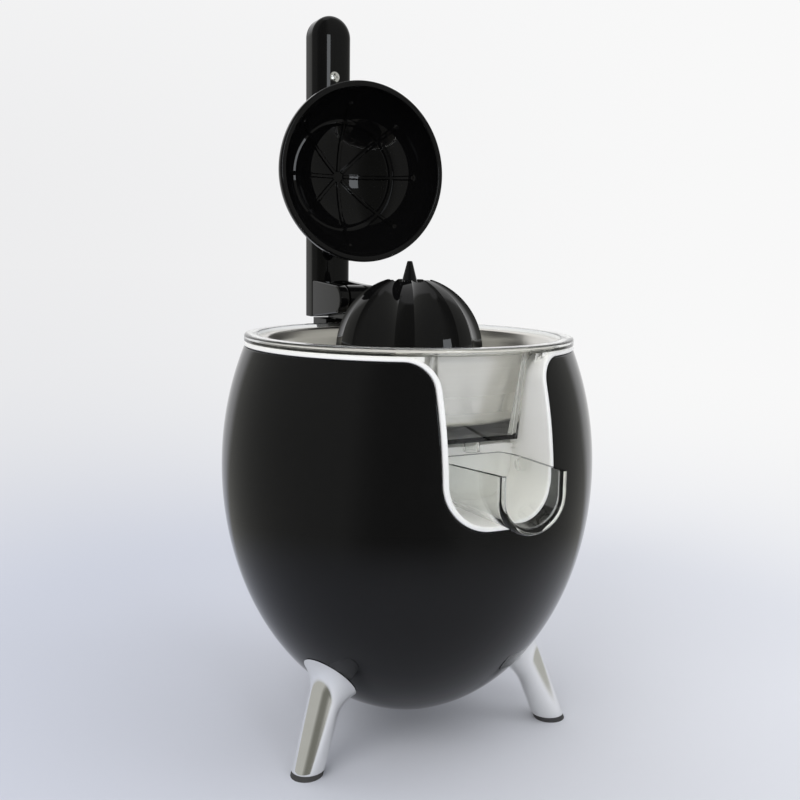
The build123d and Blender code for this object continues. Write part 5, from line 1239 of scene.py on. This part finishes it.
@dataclass
class Lever:
    """Lever: a rounded upright bar with its back cover, and two cheeks that reach to the hinge."""

    low: Array
    high: Array
    hinge: Array
    cover_seam: float
    soft: float = 6.0
    cover_soft: float = 2.6
    seam: float = 0.35
    eye: float = 8.0
    cheek_inner: float = 5.6
    cheek_outer: float = 11.65
    cheek_top: float = 230.0
    cheek_round: float = 1.2
    cheek_flat: float = 0.3
    foot_share: float = 0.98
    split: float = 1e-3
    bow_start: float = -89.9
    bow_rows: int = 24
    middle_share: float = 0.999
    face_share: float = 0.6
    clear: float = 0.02
    foot_columns: int = 8
    side_columns: int = 40
    top_columns: int = 49
    cheek_columns: int = 14
    eye_columns: int = 40
    rear_columns: int = 10
    cover_rows: int = 8

    def outline(self, inset: float) -> Array:
        """The bar seen from the front, drawn in all round: straight sides, round top, flat foot.

        Args:
            inset: how far the line is drawn in.

        Returns:
            One row of x and z a point, closed.
        """
        half = self.high[0]
        r, foot = half - inset, self.low[2] + min(inset, half * self.foot_share)
        top = self.high[2] - half
        return join(
            run((self.split, foot), (r, foot), self.foot_columns)[:-1],
            run((r, foot), (r, top), self.side_columns)[:-1],
            bend((0.0, top), r, 0, 180, self.top_columns)[:-1],
            run((-r, top), (-r, foot), self.side_columns)[:-1],
            run((-r, foot), (-self.split, foot), self.foot_columns),
        )

    def slab(self, section: Array) -> Patch:
        """Carry the outline through a section of inset and depth, closed at both faces."""
        rows = [raise_flat(self.outline(inset), 1, y) for inset, y in section]
        return Patch(np.stack(rows), close_columns=True)

    def cheek(self, side: float) -> Patch:
        """One cheek: the outline of the eye and its arm, carried across with rounded edges.

        Args:
            side: 1 for the right cheek and -1 for the left.

        Returns:
            The closed cheek.
        """
        y, z = self.hinge[1], self.hinge[2]
        rear = self.low[1] + self.soft
        outline = join(
            run((rear, self.cheek_top), (y, z + self.eye), self.cheek_columns)[:-1],
            bend((y, z), self.eye, 90, 270, self.eye_columns)[:-1],
            run((y, z - self.eye), (rear, self.low[2]), self.cheek_columns)[:-1],
            run((rear, self.low[2]), (rear, self.cheek_top), self.rear_columns)[:-1],
        )
        step = np.roll(outline, -1, 0) - np.roll(outline, 1, 0)
        normal = as_points(-step[:, 1], step[:, 0]) / np.linalg.norm(step, axis=1)[:, None]
        r, flat = self.cheek_round, self.cheek_round + self.cheek_flat
        section = join(
            [(flat, self.cheek_inner)],
            bend((r, self.cheek_inner + r), r, 270, 180, SOFT_ROWS),
            bend((r, self.cheek_outer - r), r, 180, 90, SOFT_ROWS),
            [(flat, self.cheek_outer)],
        )
        rows = [raise_flat(outline + normal * inset, 0, x * side) for inset, x in section]
        return capped(rows, ((y + rear) / 2, z))

    def build(self) -> None:
        """Build the bar with its cheeks, and the back cover.

        Across its front the bar is a half ellipse, as wide as the bar and as deep as its round.
        """
        half, front, seam = self.high[0], self.low[1], self.cover_seam
        middle, joint = half * self.middle_share, seam + self.clear
        bow = bend((0.0, 0.0), 1.0, self.bow_start, 0.0, self.bow_rows)
        bar = join(
            as_points(half * (1 - bow[:, 0]), front + self.soft * (1 + bow[:, 1])),
            [(0.0, seam - self.seam), (self.seam, seam), (middle, seam)],
        )
        arm = make_piece("lever_bar", [self.slab(bar), self.cheek(1.0), self.cheek(-1.0)])
        dress(arm, "lever", "gloss_black", "lever_arm")
        back, r = self.high[1], self.cover_soft
        cover = join(
            [(middle, joint), (self.seam, joint), (0.0, seam + self.seam)],
            bend((r, back - r), r, 180, 90, self.cover_rows),
            [(half * self.face_share, back), (middle, back)],
        )
        piece = make_piece("lever_back", [self.slab(cover)])
        dress(piece, "lever", "gloss_black", "lever_back_cover")


@dataclass
class FrontScrew:
    """Domed screw on the front of the lever, with a crossed recess."""

    centre: Array
    radius: float = 3.0
    dome: float = 0.5
    recess: float = 0.45
    arm: float = 0.55
    arm_soft: float = 0.2
    reach: float = 2.0
    reach_soft: float = 0.3
    thick: float = 1.5
    rows: int = 26

    def build(self) -> None:
        """Build the head: a shallow dome, pressed in where a point lies in an arm of the cross."""
        phi = turn(ROUND)
        ring = join(np.linspace(0.0, 1.0, self.rows), [1.0])[:, None]
        x, z = ring * self.radius * np.cos(phi), ring * self.radius * np.sin(phi)
        height = self.dome * (1 - ring**2) + np.zeros_like(phi)
        near = np.minimum(np.abs(x), np.abs(z))
        inside = np.clip((self.arm - near) / self.arm_soft, 0, 1)
        inside = inside * np.clip((self.reach - np.hypot(x, z)) / self.reach_soft, 0, 1)
        height = height - self.recess * inside
        height[-1] = -self.thick
        grid = as_points(x, -height, z) + self.centre
        base = gather(self.centre + np.array([0.0, self.thick, 0.0]), grid[:1])
        head = Patch(join(grid, base), close_columns=True)
        piece = make_piece("lever_front_screw", [head], sharp=50.0)
        dress(piece, "lever", "chrome", "lever_screw")


@dataclass
class Cup:
    """Press cup: a dome about a level axis, with a thick lip, and thin ribs and a ring inside."""

    mouth: float
    middle: float
    pivot: Array
    radius: float = 48.0
    depth: float = 40.873
    wall: float = 2.4
    lip: float = 3.0
    lip_out: float = 0.8
    ribs: int = 8
    rib_high: float = 0.9
    rib_half: float = 0.7
    rib_soft: float = 0.5
    rib_end: float = 40.0
    ring: float = 30.0
    dimple: float = 3.0
    dimple_deep: float = 1.2
    lug: float = 5.5
    lug_half: float = 4.6
    inner_edge: float = 0.7
    lip_edge: float = 1.0
    lip_flat: float = 1.4
    lip_step: float = 0.5
    tuck: float = 0.1
    dome_start: float = 6.0
    dome_rows: int = 60
    inner_rows: int = 90
    columns: int = 320
    lug_columns: int = 24
    root_columns: int = 8

    def build(self) -> None:
        """Build the cup and its lug.

        The inside is an ellipse turned about the axis and raised by a rib's height where a point
        lies within a rib's half width of a spoke, or within the ring's of its radius.
        """
        phi = turn(self.columns)
        even = np.zeros_like(phi)
        lean = np.radians(np.linspace(0.0, 90.0, self.inner_rows))[:, None]
        inner_r = (self.radius - self.wall) * np.cos(lean) + even
        inner_y = (self.depth - self.wall) * np.sin(lean) + even
        pitch = 2 * math.pi / self.ribs
        spoke = np.abs((phi + pitch / 2) % pitch - pitch / 2) * inner_r
        edge = self.rib_half + self.rib_soft
        rib, end, hoop = (
            np.clip(within / self.rib_soft, 0, 1)
            for within in (edge - spoke, self.rib_end - inner_r, edge - np.abs(inner_r - self.ring))
        )
        raised = np.maximum(rib * end, hoop)
        raised = self.rib_high * raised * raised * (3 - 2 * raised)
        raised = np.where(inner_r < self.dimple, -self.dimple_deep, raised)
        inner_r = np.maximum(inner_r - raised * np.cos(lean), 0.0)
        inner_y = inner_y - raised * np.sin(lean)
        rim, soft, lip = self.radius + self.lip_out, self.inner_edge, self.lip_edge
        arc = np.radians(np.linspace(self.dome_start, 90.0, self.dome_rows))
        outside = join(
            bend((self.radius - self.wall + soft, soft), soft, 180, 270, 4),
            bend((rim - lip, lip), lip, 270, 360, SOFT_ROWS),
            run((rim, self.lip_flat), (rim, self.lip), 3),
            [(self.radius - self.tuck, self.lip + self.lip_step)],
            as_points(self.radius * np.cos(arc), self.depth * np.sin(arc)),
        )
        radius = join(inner_r[::-1][:-1], outside[:, :1] + even)
        depth = join(inner_y[::-1][:-1], outside[:, 1:] + even)
        x, z = radius * np.sin(phi), self.middle + radius * np.cos(phi)
        grid = as_points(x, self.mouth + depth, z)
        near = self.mouth + self.depth - self.wall
        flat = join(
            bend(self.pivot[1:], self.lug, -90, 90, self.lug_columns),
            run((near, self.middle + self.lug), (near, self.middle - self.lug), self.root_columns),
        )
        rows = [raise_flat(flat, 0, x) for x in (-self.lug_half, self.lug_half)]
        lug = capped(rows, (flat[:, 0].mean(), self.middle))
        piece = make_piece("pressing_cup", [Patch(grid, close_columns=True), lug], sharp=36.0)
        dress(piece, "cup", "gloss_black", "press_cup")


@dataclass(frozen=True)
class Lamp:
    """A soft square lamp that points at the press's axis.

    Attributes:
        name: its name.
        place: where it hangs, in metres.
        size: width and height, in metres.
        power: power in watts.
        tone: colour of the light.
        aim: height on the axis that it points at.
        mirrored: whether mirrors show it.
    """

    name: str
    place: Place
    size: tuple[float, float]
    power: float
    tone: Colour
    aim: float = 0.2
    mirrored: bool = False

    def hang(self) -> None:
        """Add the lamp to the scene."""
        data = bpy.data.lights.new(self.name, "AREA")
        data.shape = "RECTANGLE"
        data.size, data.size_y = self.size
        data.energy = self.power
        data.color = self.tone
        lamp = bpy.data.objects.new(self.name, data)
        lamp.visible_glossy = self.mirrored
        bpy.context.scene.collection.objects.link(lamp)
        heading = Vector((0.0, 0.0, self.aim)) - Vector(self.place)
        turned = heading.to_track_quat("-Z", "Y").to_matrix().to_4x4()
        lamp.matrix_world = Matrix.Translation(self.place) @ turned


LAMPS = (
    Lamp("key", (-1.30, -0.75, 1.2), (1.2, 1.2), 11.0, (1.0, 0.985, 0.96)),
    Lamp("fill", (0.85, -0.6, 1.7), (0.9, 1.1), 4.0, (0.95, 0.97, 1.0)),
    Lamp("window", (0.10, -1.5, 0.55), (0.30, 0.40), 2.2, (0.9, 0.95, 1.0), 0.24, True),
    Lamp("back", (-0.6, 1.5, 1.3), (1.6, 0.9), 5.0, (1.0, 1.0, 1.0)),
)


@dataclass
class Studio:
    """Pale floor and backdrop, a dim glowing card in front that paints dark reflections, and the camera at the
    photograph's angle.
    """

    floor_tone: Colour = (0.60, 0.625, 0.70)
    # Painted light: the paper's colour on the camera's right side, lighter as if more light fell there.
    painted_lit_floor: Colour = (0.76, 0.775, 0.82)
    mid_tone: Colour = (0.68, 0.70, 0.76)
    left_tone: Colour = (0.84, 0.84, 0.85)
    right_tone: Colour = (0.94, 0.94, 0.94)
    dim_tone: Colour = (0.68, 0.685, 0.71)
    # Painted reflection: glow of the card in front and at its sides, seen only in the gloss and metal pieces.
    front_tone: Colour = (0.16, 0.16, 0.14)
    side_tone: Colour = (0.42, 0.42, 0.395)
    near: float = 0.30
    far: float = 1.8
    extent: float = 12.0
    floor_start: float = 0.05
    floor_rows: int = 40
    paper_scale: float = 220.0
    paper_detail: float = 3.0
    paper_drift: float = 0.06
    paper_relief: float = 2e-5
    paper_bump: float = 0.5
    right_range: tuple[float, float] = (-0.5, 0.35)
    upper_range: tuple[float, float] = (0.0, 0.5)
    front_range: tuple[float, float] = (-0.25, 0.55)
    card_start: float = 0.15
    card_solid: float = 0.36
    card_distance: float = 1.7
    card_lift: float = 0.0015
    card_half: float = 138.0
    card_full: float = 127.0
    card_dark: float = 4.0
    card_pale: float = 36.0
    card_rise: float = 2.0
    card_high: float = 82.0
    card_columns: int = 80
    card_flat_rows: int = 14
    card_rows: int = 40
    azimuth: float = -27.0
    distance: float = 0.494
    height: float = 0.2461
    pitch: float = 8.6
    yaw: float = -0.46
    roll: float = 0.84
    focal_px: float = 967.0
    clip_start: float = 0.01

    def ease(self, graph: Graph, value: Wire, low: float, high: float) -> Wire:
        """A share that goes smoothly from nought to one between two values."""
        smooth = {"interpolation_type": "SMOOTHSTEP"}
        return graph.add("ShaderNodeMapRange", smooth, {0: value, 1: low, 2: high})

    def to_right(self, graph: Graph, x: Wire, y: Wire) -> Wire:
        """How far a level direction lies towards the camera's right, as a share from nought to one.

        Args:
            graph: the graph that the nodes go into.
            x: the direction's x.
            y: the direction's y.

        Returns:
            The share.
        """
        aside = math.radians(self.azimuth)
        return self.ease(graph, x * math.cos(aside) + y * math.sin(aside), *self.right_range)

    def floor(self) -> None:
        """Lay the floor: a wide round sheet, with the shadow near the press, whose colour is painted lighter
        towards the camera's right, and that pales far off.
        """
        ring = np.geomspace(self.floor_start, self.extent, self.floor_rows)
        ring = join([0.0], ring) / MM
        grid = spin(as_points(ring, np.zeros_like(ring)), turn(ROUND))
        piece = make_piece("studio_floor", [Patch(grid, close_columns=True)])
        material, graph = new_material("floor_paper")
        spot = graph.add("ShaderNodeTexCoord", out="Object")
        away = graph.add("ShaderNodeVectorMath", {"operation": "LENGTH"}, {0: spot}, "Value")
        grain = {"Vector": spot, "Scale": self.paper_scale, "Detail": self.paper_detail}
        noise = graph.add("ShaderNodeTexNoise", None, grain)
        x, y, _ = graph.axes(spot)
        right = self.to_right(graph, x / (away + self.near), y / (away + self.near))
        drift = right + (noise - NOISE_MIDDLE) * self.paper_drift
        # Painted light: the paper is coloured lighter towards the camera's right, as if more light fell on that
        # side; the noise adds the paper's own grain.
        tone = graph.mix(drift, self.floor_tone, self.painted_lit_floor)
        relief = {"Height": noise, "Distance": self.paper_relief, "Strength": self.paper_bump}
        bump = graph.add("ShaderNodeBump", None, relief)
        paper = graph.add("ShaderNodeBsdfDiffuse", None, {"Color": tone, "Normal": bump})
        close = graph.add("ShaderNodeClamp", None, {0: self.near / away})
        low = graph.mix(right, self.mid_tone, self.right_tone)
        pale = graph.mix(close, graph.mix(right, self.left_tone, self.right_tone), low)
        glow = graph.add("ShaderNodeEmission", None, {0: pale, 1: 1.0})
        share = (1.0 - self.ease(graph, close, self.near / self.far, 1.0)) * self.seen(graph)
        surface = graph.add("ShaderNodeMixShader", None, {0: share, 1: paper, 2: glow})
        graph.add("ShaderNodeOutputMaterial", None, {0: surface})
        piece.data.materials.append(material)

    def card(self) -> None:
        """Stand a dim glowing sweep in front of the press, which only reflections show, with soft edges: a painted
        reflection that darkens the gloss pieces where they face it.

        It lies on the floor, and from its far end it rises as part of a ball. Each point is its
        profile's radius and height, carried round to an azimuth either side of the camera's.
        """
        side = np.linspace(-self.card_half, self.card_half, self.card_columns)
        side = np.radians(self.azimuth - 90.0 + side)
        end = self.card_distance * math.cos(math.radians(self.card_rise))
        near, far = (self.card_start, self.card_lift), (end, self.card_lift)
        flat = run(near, far, self.card_flat_rows)[:-1]
        rise = bend((0.0, 0.0), self.card_distance, self.card_rise, self.card_high, self.card_rows)
        piece = make_piece("studio_card", [Patch(spin(join(flat, rise) / MM, side))])
        material, graph = new_material("card_felt")
        x, y, _ = graph.axes(graph.add("ShaderNodeTexCoord", out="Object"))
        out = (x * x + y * y) ** 0.5
        aside = math.radians(self.azimuth)
        ahead = (x * math.sin(aside) - y * math.cos(aside)) / out
        angles = (self.card_half, self.card_full, self.card_pale, self.card_dark)
        edge, full, wide, middle = (math.cos(math.radians(angle)) for angle in angles)
        share = self.ease(graph, ahead, edge, full)
        share = share * self.ease(graph, out, self.card_start, self.card_solid)
        # Painted reflection: the card glows darker in front and paler at its sides, which sets how dark the
        # reflections in the gloss pieces look.
        tone = graph.mix(self.ease(graph, ahead, wide, middle), self.side_tone, self.front_tone)
        painted_reflection_glow = graph.add("ShaderNodeEmission", None, {0: tone, 1: 1.0})
        clear = graph.add("ShaderNodeBsdfTransparent", None, {0: _rgba((1.0, 1.0, 1.0))})
        surface = graph.add("ShaderNodeMixShader", None, {0: share, 1: clear, 2: painted_reflection_glow})
        graph.add("ShaderNodeOutputMaterial", None, {0: surface})
        piece.data.materials.append(material)
        for rays in ("camera", "diffuse", "transmission", "shadow"):
            setattr(piece, f"visible_{rays}", False)

    def seen(self, graph: Graph) -> Wire:
        """One where the ray comes from the camera, a mirror or clear plastic."""
        camera, glossy, through = (
            graph.add("ShaderNodeLightPath", out=f"Is {kind} Ray")
            for kind in ("Camera", "Glossy", "Transmission")
        )
        return graph.add("ShaderNodeClamp", None, {0: camera + glossy + through})

    def world(self) -> None:
        """Pale backdrop that brightens upwards and to the right, and a dimmer light in front."""
        world = bpy.data.worlds.new("studio")
        bpy.context.scene.world = world
        world.use_nodes = True
        graph = Graph(world.node_tree)
        x, y, z = graph.axes(graph.add("ShaderNodeTexCoord", out="Generated"))
        pale = graph.mix(self.to_right(graph, x, y), self.left_tone, self.right_tone)
        pale = graph.mix(self.ease(graph, z, *self.upper_range), pale, self.right_tone)
        dim = graph.mix(self.ease(graph, y, *self.front_range), self.dim_tone, self.left_tone)
        tone = graph.mix(self.seen(graph), dim, pale)
        glow = graph.add("ShaderNodeBackground", None, {0: tone, 1: 1.0})
        graph.add("ShaderNodeOutputWorld", None, {0: glow})

    def shoot(self) -> None:
        """Place the camera: its azimuth, height and distance, then yaw, pitch and roll."""
        data = bpy.data.cameras.new("camera")
        data.sensor_width = SENSOR
        data.lens = self.focal_px / IMAGE_SIDE * SENSOR
        data.clip_start = self.clip_start
        camera = bpy.data.objects.new("camera", data)
        bpy.context.scene.collection.objects.link(camera)
        side, down = math.radians(self.azimuth), math.radians(self.pitch)
        away, level = self.distance, math.cos(down)
        place = Vector((away * math.sin(side), -away * math.cos(side), self.height))
        turned = -side + math.radians(self.yaw)
        ahead = Vector((math.sin(turned) * level, math.cos(turned) * level, -math.sin(down)))
        right = ahead.cross(Vector((0.0, 0.0, 1.0))).normalized()
        up = right.cross(ahead)
        lean = math.radians(self.roll)
        tilted = right * math.cos(lean) + up * math.sin(lean)
        crown = up * math.cos(lean) - right * math.sin(lean)
        camera.matrix_world = Matrix((tilted, crown, -ahead)).transposed().to_4x4()
        camera.location = place
        bpy.context.scene.camera = camera


def main() -> None:
    """Build and dress the press, then the studio."""
    logging.basicConfig(level=logging.INFO, format="%(message)s")
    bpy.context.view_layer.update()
    for finish in FINISHES:
        finish.make()
    for row in frame["record"]["subparts"]:
        node = frame["nodes"][row["node"]]
        node.data.materials.clear()
        node.data.materials.append(bpy.data.materials[row["material_slot"]])
    press_spring("return_spring", "reamer_press")
    shell_low, shell_high = box_mm("outer_shell")
    bowl_high, liner_high = box_mm("juice_bowl")[1], box_mm("inner_liner")[1]
    reamer_low, reamer_high = box_mm("reamer_cone")
    cover_low, cover_high = box_mm("lever_back_cover")
    screw_low, screw_high = box_mm("lever_screw")
    cup_pivot = joint_spot("cup_tilt")
    egg = Egg(radius=shell_high[0])
    notch = Notch(egg, rim=shell_high[2])
    Shell(notch, foot=shell_low[2]).build()
    Liner(notch).build()
    bowl = Bowl(seat=liner_high[2] + Bowl.lift, top=bowl_high[2], ring=bowl_high[0])
    bowl.build()
    Strainer(shelf=bowl.top - bowl.step_deep, rim=box_mm("strainer_basket")[1][0]).build()
    Reamer(foot=reamer_low[2], tip=reamer_high[2]).build()
    Spout(pivot=joint_spot("spout_tilt"), lip=box_mm("spout")[0][1]).build()
    for name, angle in LEGS.items():
        Leg(egg, name, angle, pad=box_mm(name)[0][2]).build()
    Lever(
        low=np.array([cover_low[0], screw_low[1], cover_low[2]]),
        high=cover_high,
        hinge=joint_spot("lever_lift"),
        cover_seam=box_mm("lever_arm")[1][1],
    ).build()
    FrontScrew(centre=np.array([0.0, screw_low[1], (screw_low[2] + screw_high[2]) / 2])).build()
    Cup(mouth=box_mm("press_cup")[0][1], middle=cup_pivot[2], pivot=cup_pivot).build()
    studio = Studio()
    studio.floor()
    studio.card()
    studio.world()
    for lamp in LAMPS:
        lamp.hang()
    studio.shoot()
    bpy.context.scene.view_settings.view_transform = "Standard"
    bpy.context.view_layer.update()


if __name__ == "__main__":
    main()
